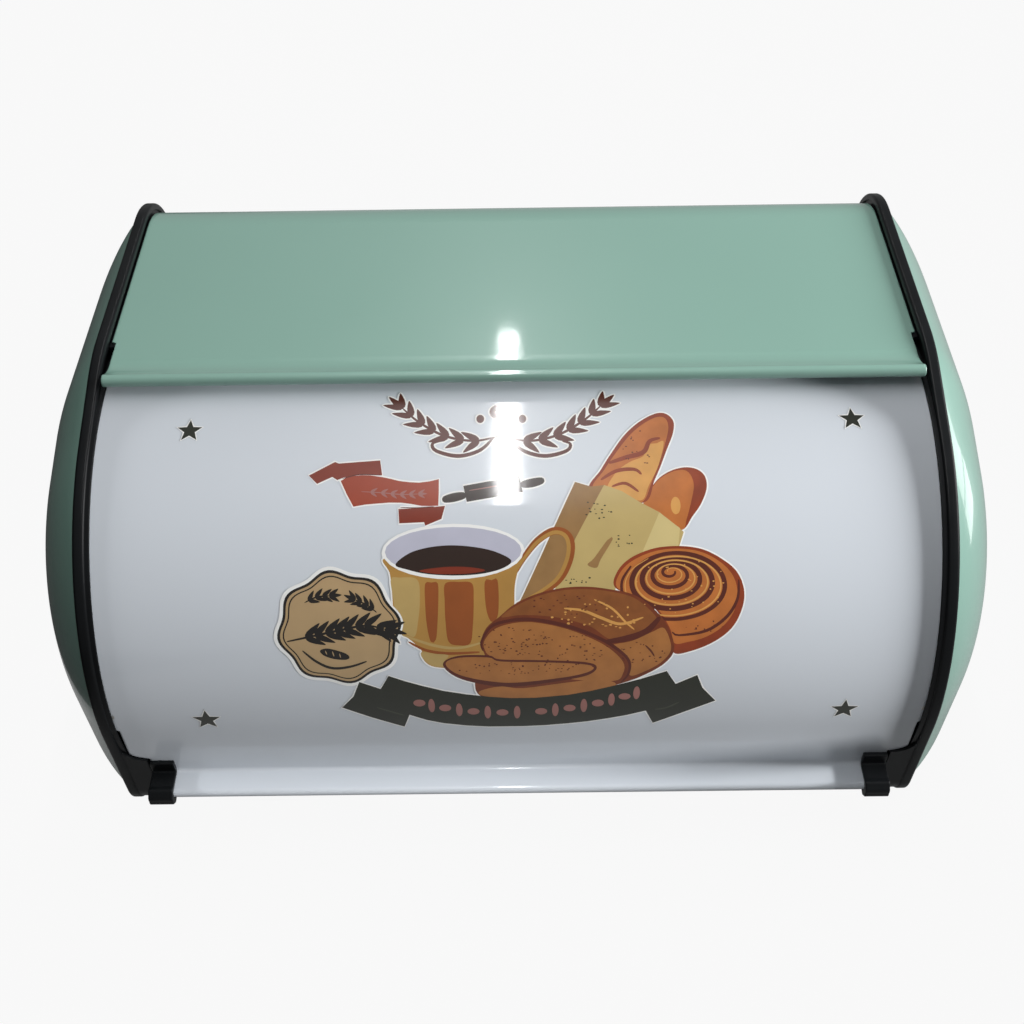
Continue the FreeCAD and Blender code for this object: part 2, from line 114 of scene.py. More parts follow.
def outline(inset, fine=1.0):
    # side outline as (y, z, normal y, normal z, circle), the same count of points for every inset
    circles = sideCircles()
    count = len(circles)
    touch = [touchAngle(circles[i], circles[(i + 1) % count]) for i in range(count)]
    points = []
    for i, (cy, cz, radius) in enumerate(circles):
        turn = (touch[i - 1] - touch[i]) % (2 * math.pi)
        steps = math.ceil(math.degrees(turn) / (1.5 if radius > 50 else 4.5) / fine)
        for k in range(steps + 1):
            a = touch[i - 1] - turn * k / steps
            ny, nz = math.cos(a), math.sin(a)
            points.append((cy + (radius - inset) * ny, cz + (radius - inset) * nz, ny, nz, i))
        nextY, nextZ, nextRadius = circles[(i + 1) % count]
        length = math.hypot(nextY - cy, nextZ - cz)
        pieces = max(3, round(length / 6 / fine))
        lastY, lastZ = points[-1][0], points[-1][1]
        goY = nextY + (nextRadius - inset) * ny - lastY
        goZ = nextZ + (nextRadius - inset) * nz - lastZ
        for k in range(1, pieces):
            points.append((lastY + goY * k / pieces, lastZ + goZ * k / pieces, ny, nz, -1))
    return points


def splitMove(move, runStep):
    # cuts a move of a bent sheet's path into short ones
    if move[0] == "run":
        near = min(0.6, move[1] / 4)
        inner = move[1] - 2 * near
        count = max(1, math.ceil(inner / runStep))
        return [("run", near)] + [("run", inner / count)] * count + [("run", near)]
    step = 1.0 if move[1] > 50 else 3.0 if move[1] > 10 else 9.0
    count = max(3, math.ceil(abs(move[2]) / step))
    return [("bend", move[1], move[2] / count)] * count


def takeMove(place, move):
    y, z, heading = place
    a = math.radians(heading)
    if move[0] == "run":
        return y + move[1] * math.cos(a), z + move[1] * math.sin(a), heading
    reach = move[1] if move[2] > 0 else -move[1]
    cy, cz = y - reach * math.sin(a), z + reach * math.cos(a)
    b = math.radians(heading + move[2])
    return cy + reach * math.sin(b), cz - reach * math.cos(b), heading + move[2]


def walkPath(place, moves, side=1, runStep=6.0):
    # stations (y, z, normal y, normal z) along a path; the normal points to its right, or left for side -1
    places = [place]
    for move in moves:
        for part in splitMove(move, runStep):
            places.append(takeMove(places[-1], part))
    stations = []
    for y, z, heading in places:
        a = math.radians(heading)
        stations.append((y, z, side * math.sin(a), -side * math.cos(a)))
    return stations


def onArc(radius, angle):
    # point of the lid's arc, its angle measured up from straight forward
    return -radius * math.cos(math.radians(angle)), radius * math.sin(math.radians(angle))


def arcStations(radius, low, high, step=1.0):
    count = max(2, math.ceil((high - low) / step))
    stations = []
    for i in range(count + 1):
        y, z = onArc(radius, low + (high - low) * i / count)
        stations.append((y, z, y / radius, z / radius))
    return stations


def toFrame(x, y, z):
    return Vector((x * mm, y * mm, z * mm)) + axis


def quarter(steps, first=0):
    # angles over a quarter turn, for round edges
    return [math.radians(90 * k / steps) for k in range(first, steps + 1)]


# mesh builders
def linked(name, data):
    thing = bpy.data.objects.new(name, data)
    scene.collection.objects.link(thing)
    return thing


def newPiece(name, bm, material, smoothAngle=35.0):
    bmesh.ops.recalc_face_normals(bm, faces=bm.faces)
    mesh = bpy.data.meshes.new(name)
    bm.to_mesh(mesh)
    bm.free()
    for polygon in mesh.polygons:
        polygon.use_smooth = True
    mesh.set_sharp_from_angle(angle=math.radians(smoothAngle))
    mesh.materials.append(material)
    return linked(name, mesh)


def bothSides(make, name, *more):
    return {side: make(name + word, side, *more) for word, side in (("Left", -1), ("Right", 1))}


def sectionLoop(low, high, thick, rim, columns, cornerSteps):
    # closed loop across a sheet as (x, height above its middle), with rounded long edges
    left, right, flat = low + rim, high - rim, thick / 2 - rim
    edge = min(0.5, (right - left) / 5)
    xs = [left] + [left + edge + (right - left - 2 * edge) * i / columns for i in range(columns + 1)]
    xs.append(right)
    corner = [(rim * math.sin(a), flat + rim * math.cos(a)) for a in quarter(cornerSteps, 1)]
    lower = [(x, -h) for x, h in reversed(corner[:-1] if flat < 1e-6 else corner)]
    rightEdge = [(right + x, h) for x, h in corner + lower]
    leftEdge = [(left - x, h) for x, h in reversed(corner + lower)]
    return [(x, thick / 2) for x in xs] + rightEdge + [(x, -thick / 2) for x in reversed(xs)] + leftEdge


def stitch(bm, rings, closed=False):
    # walls between neighbouring rings of vertices
    pairs = list(zip(rings, rings[1:])) + ([(rings[-1], rings[0])] if closed else [])
    for first, second in pairs:
        for j in range(len(first)):
            k = (j + 1) % len(first)
            bm.faces.new((first[j], first[k], second[k], second[j]))


def addSheet(bm, stations, spans, thick, rim=None, columns=12, cornerSteps=3, mirror=1):
    # a bent sheet with rounded edges: stations on its outer face, its reach in X and its thickness at each
    count = len(stations)
    spans = [spans] * count if isinstance(spans, tuple) else spans
    thick = [thick] * count if not isinstance(thick, list) else thick
    fullRound = rim is None
    rings = []

    def addRing(station, span, t, pull, shrink):
        y, z, ny, nz = station[:4]
        r = (t / 2 - shrink) if fullRound else max(rim - shrink, 0.01)
        size = t - 2 * shrink
        mid = t / 2
        ring = []
        for x, h in sectionLoop(span[0] + shrink, span[1] - shrink, size, r, columns, cornerSteps):
            spotY = y - ny * (mid - h) + pull[0]
            spotZ = z - nz * (mid - h) + pull[1]
            ring.append(bm.verts.new(toFrame(mirror * x, spotY, spotZ)))
        rings.append(ring)

    def roundEnd(index, inner):
        # the last bit of the sheet, rounded over its thickness
        station, other = stations[index], stations[inner]
        wayY, wayZ = station[0] - other[0], station[1] - other[1]
        size = math.hypot(wayY, wayZ)
        r = thick[index] / 2 if fullRound else rim
        steps = []
        for k in range(1, cornerSteps + 1):
            a = math.radians((84 if fullRound else 90) * k / cornerSteps)
            reach = r * (math.sin(a) - 1)
            steps.append((reach * wayY / size, reach * wayZ / size, r * (1 - math.cos(a))))
        return steps

    firstEnd, lastEnd = roundEnd(0, 1), roundEnd(-1, -2)
    for pullY, pullZ, shrink in reversed(firstEnd):
        addRing(stations[0], spans[0], thick[0], (pullY, pullZ), shrink)
    clear = thick[0] / 2 if fullRound else rim
    for i in range(1, count - 1):
        near = min(math.dist(stations[i][:2], stations[end][:2]) for end in (0, -1))
        if near > clear * 1.05:
            addRing(stations[i], spans[i], thick[i], (0, 0), 0)
    for pullY, pullZ, shrink in lastEnd:
        addRing(stations[-1], spans[-1], thick[-1], (pullY, pullZ), shrink)
    stitch(bm, rings)
    bm.faces.new(rings[0])
    bm.faces.new(rings[-1])


def addRod(bm, foot, way, radius, length, sides=24, rim=0.0):
    # a plain rod with both ends closed and, if asked, its far rim rounded
    way = Vector(way).normalized()
    across = way.orthogonal().normalized()
    up = way.cross(across)
    foot = Vector(foot)
    levels = [(radius, 0.0), (radius, length - rim)]
    for a in quarter(3, 1) if rim else []:
        levels.append((radius - rim * (1 - math.cos(a)), length - rim * (1 - math.sin(a))))
    rings = []
    for r, h in levels:
        ring = []
        for i in range(sides):
            a = 2 * math.pi * i / sides
            spot = foot + way * h + across * r * math.cos(a) + up * r * math.sin(a)
            ring.append(bm.verts.new(toFrame(*spot)))
        rings.append(ring)
    stitch(bm, rings)
    bm.faces.new(rings[0])
    bm.faces.new(rings[-1])


def turned(name, profile, sides, material):
    # a turned shape about +Z in metres, from a profile of (radius, height) that starts and ends on the axis
    bm = bmesh.new()
    rings = []
    for r, h in profile[1:-1]:
        ring = []
        for i in range(sides):
            a = 2 * math.pi * i / sides
            ring.append(bm.verts.new((r * mm * math.cos(a), r * mm * math.sin(a), h * mm)))
        rings.append(ring)
    stitch(bm, rings)
    for end, ring in ((profile[0], rings[0]), (profile[-1], rings[-1])):
        pole = bm.verts.new((0, 0, end[1] * mm))
        for j in range(sides):
            bm.faces.new((ring[j], ring[(j + 1) % sides], pole))
    return newPiece(name, bm, material)


def applied(piece, name):
    # the evaluated piece as one plain mesh object; the working object goes
    bpy.context.view_layer.update()
    depsgraph = bpy.context.evaluated_depsgraph_get()
    mesh = bpy.data.meshes.new_from_object(piece.evaluated_get(depsgraph), depsgraph=depsgraph)
    done = linked(name, mesh)
    bpy.data.objects.remove(piece)
    return done


# geometry node trees
def newTree(name, inputs):
    tree = bpy.data.node_groups.new(name, "GeometryNodeTree")
    tree.interface.new_socket("Geometry", in_out="INPUT", socket_type="NodeSocketGeometry")
    for label, kind, value in inputs:
        entry = tree.interface.new_socket(label, in_out="INPUT", socket_type=kind)
        if value is not None:
            entry.default_value = value
    tree.interface.new_socket("Geometry", in_out="OUTPUT", socket_type="NodeSocketGeometry")
    return tree, tree.nodes.new("NodeGroupInput"), tree.nodes.new("NodeGroupOutput")


def joinUp(tree, source, target):
    tree.links.new(source, target)


def addNode(tree, kind, inputs):
    # a node with its inputs set to plain values or joined to other nodes' outputs
    node = tree.nodes.new(kind)
    for label, value in inputs.items():
        if isinstance(value, bpy.types.NodeSocket):
            joinUp(tree, value, node.inputs[label])
        else:
            node.inputs[label].default_value = value
    return node


def mathNode(tree, operation, first, second):
    node = addNode(tree, "ShaderNodeMath", {0: first, 1: second})
    node.operation = operation
    return node.outputs[0]


def storedValue(tree, label, kind):
    node = addNode(tree, "GeometryNodeInputNamedAttribute", {"Name": label})
    node.data_type = kind
    return node.outputs["Attribute"]


def endTree(tree, given, result, source):
    # real geometry with its finish, as the last steps of every tree
    solid = addNode(tree, "GeometryNodeRealizeInstances", {"Geometry": source})
    paint = addNode(tree, "GeometryNodeSetMaterial", {
        "Geometry": solid.outputs["Geometry"], "Material": given.outputs["Material"]})
    joinUp(tree, paint.outputs["Geometry"], result.inputs["Geometry"])


def runTree(piece, tree, values, name):
    # gives a piece the tree with its inputs by their identifiers, and returns the plain result
    modifier = piece.modifiers.new(tree.name, "NODES")
    modifier.node_group = tree
    for entry in tree.interface.items_tree:
        if entry.in_out == "INPUT" and entry.name in values:
            modifier[entry.identifier] = values[entry.name]
    return applied(piece, name)


# finishes
def newMaterial(name, values):
    material = bpy.data.materials.new(name)
    material.use_nodes = True
    tree = material.node_tree
    shader = tree.nodes["Principled BSDF"]
    for socket, value in values.items():
        shader.inputs[socket].default_value = value
    return material, tree, shader


def noiseAt(tree, scale, detail=2.0):
    place = tree.nodes.new("ShaderNodeTexCoord")
    noise = addNode(tree, "ShaderNodeTexNoise", {
        "Vector": place.outputs["Object"], "Scale": scale, "Detail": detail})
    return noise.outputs["Fac"]


def rampOf(tree, source, stops):
    ramp = addNode(tree, "ShaderNodeValToRGB", {"Fac": source})
    elements = ramp.color_ramp.elements
    while len(elements) < len(stops):
        elements.new(0.5)
    for element, (position, colour) in zip(elements, stops):
        element.position = position
        element.color = (*colour, 1)
    return ramp.outputs["Color"]


def rangeOf(tree, source, low, high):
    node = addNode(tree, "ShaderNodeMapRange", {"Value": source, "To Min": low, "To Max": high})
    node.clamp = False
    return node.outputs["Result"]


def bumpOf(tree, shader, source, depth):
    bump = addNode(tree, "ShaderNodeBump", {"Height": source, "Distance": depth * mm, "Strength": 1.0})
    joinUp(tree, bump.outputs["Normal"], shader.inputs["Normal"])
    return bump.outputs["Normal"]


def shade(colour, factor):
    return tuple(min(1.0, c * factor) for c in colour)


enamel = {
    "cloud": 9.0,           # soft drift of colour over the sheet
    "wipe": 26.0,           # slow change of the gloss under the clear coat
    "peel": 420.0,          # orange peel of the sprayed coat
    "peelDepth": 0.0045,
    "roughness": (0.26, 0.34),
    "coat": 0.75,
    "coatRoughness": 0.055,
}


def enamelPaint(name, colour, drift=0.03, cloudScale=enamel["cloud"]):
    # sprayed and baked paint: a clear gloss over a slightly uneven colour
    e = enamel
    material, tree, shader = newMaterial(name, {
        "Coat Weight": e["coat"], "Coat Roughness": e["coatRoughness"], "Specular IOR Level": 0.4})
    cloud = noiseAt(tree, cloudScale, 3.0)
    stops = [(0.1, shade(colour, 1 - drift)), (0.9, shade(colour, 1 + drift))]
    joinUp(tree, rampOf(tree, cloud, stops), shader.inputs["Base Color"])
    joinUp(tree, rangeOf(tree, noiseAt(tree, e["wipe"]), *e["roughness"]), shader.inputs["Roughness"])
    peel = bumpOf(tree, shader, noiseAt(tree, e["peel"], 1.0), e["peelDepth"])
    joinUp(tree, peel, shader.inputs["Coat Normal"])
    return material


plastic = {"mottle": 35.0, "wear": 140.0, "dark": 0.75, "light": 1.3}


def mouldedPlastic(name, colour, roughness, grain, depth, gloss=0.4):
    material, tree, shader = newMaterial(name, {"Specular IOR Level": gloss})
    stops = [(0.2, shade(colour, plastic["dark"])), (0.8, shade(colour, plastic["light"]))]
    joinUp(tree, rampOf(tree, noiseAt(tree, plastic["mottle"], 4.0), stops), shader.inputs["Base Color"])
    joinUp(tree, rangeOf(tree, noiseAt(tree, plastic["wear"], 3.0), *roughness), shader.inputs["Roughness"])
    bumpOf(tree, shader, noiseAt(tree, grain, 2.0), depth)
    return material


steel = {
    "stops": [(0.3, (0.50, 0.50, 0.48)), (0.7, (0.66, 0.67, 0.68))],
    "cloud": 500.0,
    "wipe": 900.0,
    "roughness": (0.24, 0.42),
    "grain": 1500.0,
    "grainDepth": 0.004,
}


def platedSteel(name):
    s = steel
    material, tree, shader = newMaterial(name, {"Metallic": 1.0})
    joinUp(tree, rampOf(tree, noiseAt(tree, s["cloud"], 3.0), s["stops"]), shader.inputs["Base Color"])
    joinUp(tree, rangeOf(tree, noiseAt(tree, s["wipe"]), *s["roughness"]), shader.inputs["Roughness"])
    bumpOf(tree, shader, noiseAt(tree, s["grain"]), s["grainDepth"])
    return material


mintEnamel = enamelPaint("mintEnamel", (0.262, 0.452, 0.378))
whiteEnamel = enamelPaint("whiteEnamel", (0.60, 0.638, 0.684), 0.012)
blackPlastic = mouldedPlastic("blackPlastic", (0.0075, 0.0085, 0.0095), (0.28, 0.40), 1600.0, 0.006, 0.16)
nylon = mouldedPlastic("nylon", (0.68, 0.68, 0.64), (0.42, 0.52), 900.0, 0.004)
rubber = mouldedPlastic("rubber", (0.022, 0.022, 0.022), (0.68, 0.82), 1100.0, 0.015)
zincSteel = platedSteel("zincSteel")
print("finishes ready")

# sheets
lip = {
    "half": shell["sheetHalf"] - 1.5,
    "stepY": 17.2,          # the sheet gets narrower in front of this
    "stepHalf": 0.3,        # over twice this length
    "flat": 8.3,
    "crease": (3.0, 8.0),   # radius and degrees down
    "valley": (14.8, 46.0),
    "roll": (2.3, 262.0),
}


def makeBackSheet():
    s = shell
    outside = s["backReach"] - s["sheetDrop"]
    cornerZ = s["topHeight"] - s["rearTopRadius"]
    level = s["backReach"] - s["rearTopRadius"] - lip["stepY"]
    moves = [("run", cornerZ - s["seamLow"]), ("bend", s["rearTopRadius"] - s["sheetDrop"], 90),
             ("run", level - lip["stepHalf"]),
             ("run", lip["stepHalf"] + lip["stepY"] - s["topBlendY"] + lip["flat"]),
             ("bend", *lip["crease"]), ("bend", lip["valley"][0], -lip["valley"][1]),
             ("bend", *lip["roll"])]
    stations = walkPath((outside, s["seamLow"], 90), moves)
    spans = []
    for y, z, ny, nz in stations:
        half = s["sheetHalf"] if y > lip["stepY"] else lip["half"]
        spans.append((-half, half))
    bm = bmesh.new()
    addSheet(bm, stations, spans, sheet, columns=16)
    return newPiece("backSheetBlank", bm, mintEnamel)


vent = {"radius": 2.5, "pitch": 12.0, "count": 9, "rows": 2, "height": 46.0, "punch": 8.0}


def ventTree():
    # punches a grid of round holes through the sheet
    tree, given, result = newTree("ventPunch", [
        ("Count", "NodeSocketInt", vent["count"]), ("Rows", "NodeSocketInt", vent["rows"]),
        ("Pitch", "NodeSocketFloat", vent["pitch"] * mm), ("Radius", "NodeSocketFloat", vent["radius"] * mm),
        ("Place", "NodeSocketVector", (0, 0, 0)), ("Material", "NodeSocketMaterial", None)])
    count, rows = given.outputs["Count"], given.outputs["Rows"]
    wide, tall = (mathNode(tree, "MULTIPLY", mathNode(tree, "SUBTRACT", number, 1), given.outputs["Pitch"])
                  for number in (count, rows))
    grid = addNode(tree, "GeometryNodeMeshGrid", {
        "Size X": wide, "Size Y": tall, "Vertices X": count, "Vertices Y": rows})
    punch = addNode(tree, "GeometryNodeMeshCylinder", {
        "Vertices": 32, "Depth": vent["punch"] * mm, "Radius": given.outputs["Radius"]})
    spread = addNode(tree, "GeometryNodeInstanceOnPoints", {
        "Points": grid.outputs["Mesh"], "Instance": punch.outputs["Mesh"]})
    move = addNode(tree, "GeometryNodeTransform", {
        "Geometry": spread.outputs["Instances"], "Translation": given.outputs["Place"],
        "Rotation": (math.radians(90), 0, 0)})
    solid = addNode(tree, "GeometryNodeRealizeInstances", {"Geometry": move.outputs["Geometry"]})
    cut = tree.nodes.new("GeometryNodeMeshBoolean")
    cut.operation = "DIFFERENCE"
    joinUp(tree, given.outputs["Geometry"], cut.inputs["Mesh 1"])
    joinUp(tree, solid.outputs["Geometry"], cut.inputs["Mesh 2"])
    endTree(tree, given, result, cut.outputs["Mesh"])
    return tree


def makeVents(blank):
    place = toFrame(0, shell["backReach"] - shell["sheetDrop"], vent["height"])
    piece = runTree(blank, ventTree(), {"Place": tuple(place), "Material": mintEnamel}, "backSheet")
    for polygon in piece.data.polygons:
        polygon.use_smooth = True
    piece.data.set_sharp_from_angle(angle=math.radians(35))
    return piece


sill = {"drop": 0.3, "radius": 1.6, "turn": 235.0, "half": halfWidth - 13.1}


def makeBasePan():
    s = shell
    inset = s["sheetDrop"] + sheet + s["lapGap"]
    rollZ = lidFrontEdge["flangeTop"] - sheet - sill["drop"] - sill["radius"]
    seamHigh = s["seamHigh"]
    path = [p for p in outline(inset) if p[1] < seamHigh - 1 and (p[0] > 0 or p[1] < rollZ - 0.3)]
    backY = s["backReach"] - inset
    first = [(backY, seamHigh, 1.0, 0.0), (backY, seamHigh - 0.6, 1.0, 0.0)]
    y, z, ny, nz = path[-1][:4]
    slope = -nz / ny                    # how the front line runs in Y for each step in Z
    topY = y + slope * (rollZ - z)
    heading = math.degrees(math.atan2(-ny, nz))
    roll = walkPath((topY, rollZ, heading), [("bend", sill["radius"] - sheet, sill["turn"])], side=-1)
    main = first + [p[:4] for p in path]
    spans = [(-s["sheetHalf"], s["sheetHalf"])] * len(main) + [(-sill["half"], sill["half"])] * len(roll)
    bm = bmesh.new()
    addSheet(bm, main + roll, spans, sheet, columns=16)
    return newPiece("basePan", bm, mintEnamel)


lidFrontEdge = {"flangeTop": -30.7, "tangent": -2.5, "bend": 1.5, "flange": 7.2, "roll": (1.9, 215.0)}
lidSheet = {
    "radius": shell["arcRadius"] - 1.8,
    "half": cadEdge("lid", 1, 0),
    "rear": 97.0,           # degrees
    "hem": 9.0,             # folded strip under the rear edge
    "hemHalf": halfWidth - 7.8,
    "frontHalf": cadEdge("lid", 1, 0) - 2.5,
    "wideEnd": -1.0,        # degrees
    "cornerX": halfWidth - 12.8,
    "cornerZ": -13.0,
    "cornerRadius": 8.7,
    "flangeHalf": halfWidth - 13.5,
}


def lidReach(y, z):
    # half the lid's width at a place below the arc's middle
    c = lidSheet
    below = z - c["cornerZ"]
    if z > onArc(c["radius"], c["wideEnd"])[1]:
        return c["half"]
    if below > 0:
        return c["frontHalf"]
    if below > -c["cornerRadius"]:
        return min(c["frontHalf"], c["cornerX"] + math.sqrt(c["cornerRadius"] ** 2 - below ** 2))
    return c["flangeHalf"]


def lidStations():
    c, f = lidSheet, lidFrontEdge
    lean = math.radians(-f["tangent"])
    tangentZ = onArc(c["radius"], f["tangent"])[1]
    run = (tangentZ - f["flangeTop"] - f["bend"] * (1 + math.sin(lean))) / math.cos(lean)
    foldAngle = math.degrees(sheet / c["radius"])
    top = c["rear"] - foldAngle
    hemLow = c["rear"] - math.degrees(c["hem"] / c["radius"])
    inner = c["radius"] - 2 * sheet - shell["lapGap"]
    stations = [(y, z, -ny, -nz) for y, z, ny, nz in arcStations(inner, hemLow, top)]
    middleY, middleZ = onArc((inner + c["radius"]) / 2, top)
    foldRadius = (c["radius"] - inner) / 2
    for k in range(1, 8):                # the fold at the rear edge
        a = math.radians(top - 180 + 22.5 * k)
        ny, nz = math.cos(a), -math.sin(a)
        stations.append((middleY + foldRadius * ny, middleZ + foldRadius * nz, ny, nz))
    hemCount = len(stations) - 3
    start = onArc(c["radius"], top)
    stations += walkPath((*start, 270 - top), [
        ("bend", c["radius"], top - f["tangent"]), ("run", run), ("bend", f["bend"], f["tangent"] - 90),
        ("run", f["flange"]), ("bend", *f["roll"])], runStep=0.6)
    return stations, hemCount


def makeLid():
    stations, hemCount = lidStations()
    spans = []
    for i, station in enumerate(stations):
        half = lidSheet["hemHalf"] if i < hemCount else lidReach(*station[:2])
        spans.append((-half, half))
    bm = bmesh.new()
    addSheet(bm, stations, spans, sheet, columns=20)
    return newPiece("lidSheet", bm, whiteEnamel)


backSheet = makeVents(makeBackSheet())
basePan = makeBasePan()
lidPiece = makeLid()
print("sheets bent")

# the picture printed on the lid, in millimetres across and down from near its upper edge
printed = {
    "start": 75.0,          # degrees up the lid's arc where "down" is nought
    "depths": (0.035, 0.006),
    "halo": 0.55,           # pale edge round every shape
    "slice": 3.1,           # the print bends with the lid in steps of about this
    "reach": 140.0,         # half the length of the lines between the steps
    "seed": 7,
}
chance = random.Random(printed["seed"])
inks = {                    # colour, how far it drifts, and the scale of the drift
    "cream": ((0.820, 0.820, 0.800), 0.02, 9.0),
    "lilac": ((0.460, 0.460, 0.550), 0.10, 60.0),
    "wine": ((0.085, 0.016, 0.008), 0.12, 120.0),
    "coffee": ((0.022, 0.010, 0.006), 0.15, 120.0),
    "brick": ((0.290, 0.042, 0.014), 0.10, 120.0),
    "brickDark": ((0.190, 0.026, 0.010), 0.10, 120.0),
    "rose": ((0.300, 0.130, 0.110), 0.05, 60.0),
    "gold": ((0.390, 0.210, 0.050), 0.12, 90.0),
    "goldLight": ((0.430, 0.300, 0.110), 0.12, 90.0),
    "goldDark": ((0.260, 0.070, 0.014), 0.15, 90.0),
    "crust": ((0.430, 0.135, 0.030), 0.22, 150.0),
    "crustLight": ((0.580, 0.290, 0.075), 0.15, 150.0),
    "crustDark": ((0.230, 0.038, 0.010), 0.25, 150.0),
    "kraft": ((0.460, 0.345, 0.135), 0.08, 90.0),
    "kraftLight": ((0.560, 0.450, 0.200), 0.06, 90.0),
    "kraftDark": ((0.270, 0.150, 0.055), 0.20, 120.0),
    "loaf": ((0.215, 0.070, 0.017), 0.30, 170.0),
    "loafDark": ((0.150, 0.032, 0.009), 0.30, 170.0),
    "loafFace": ((0.350, 0.140, 0.038), 0.22, 170.0),
    "tan": ((0.420, 0.290, 0.150), 0.08, 90.0),
    "night": ((0.009, 0.007, 0.006), 0.10, 90.0),
    "olive": ((0.014, 0.016, 0.009), 0.18, 90.0),
    "oliveLight": ((0.036, 0.040, 0.024), 0.10, 90.0),
}
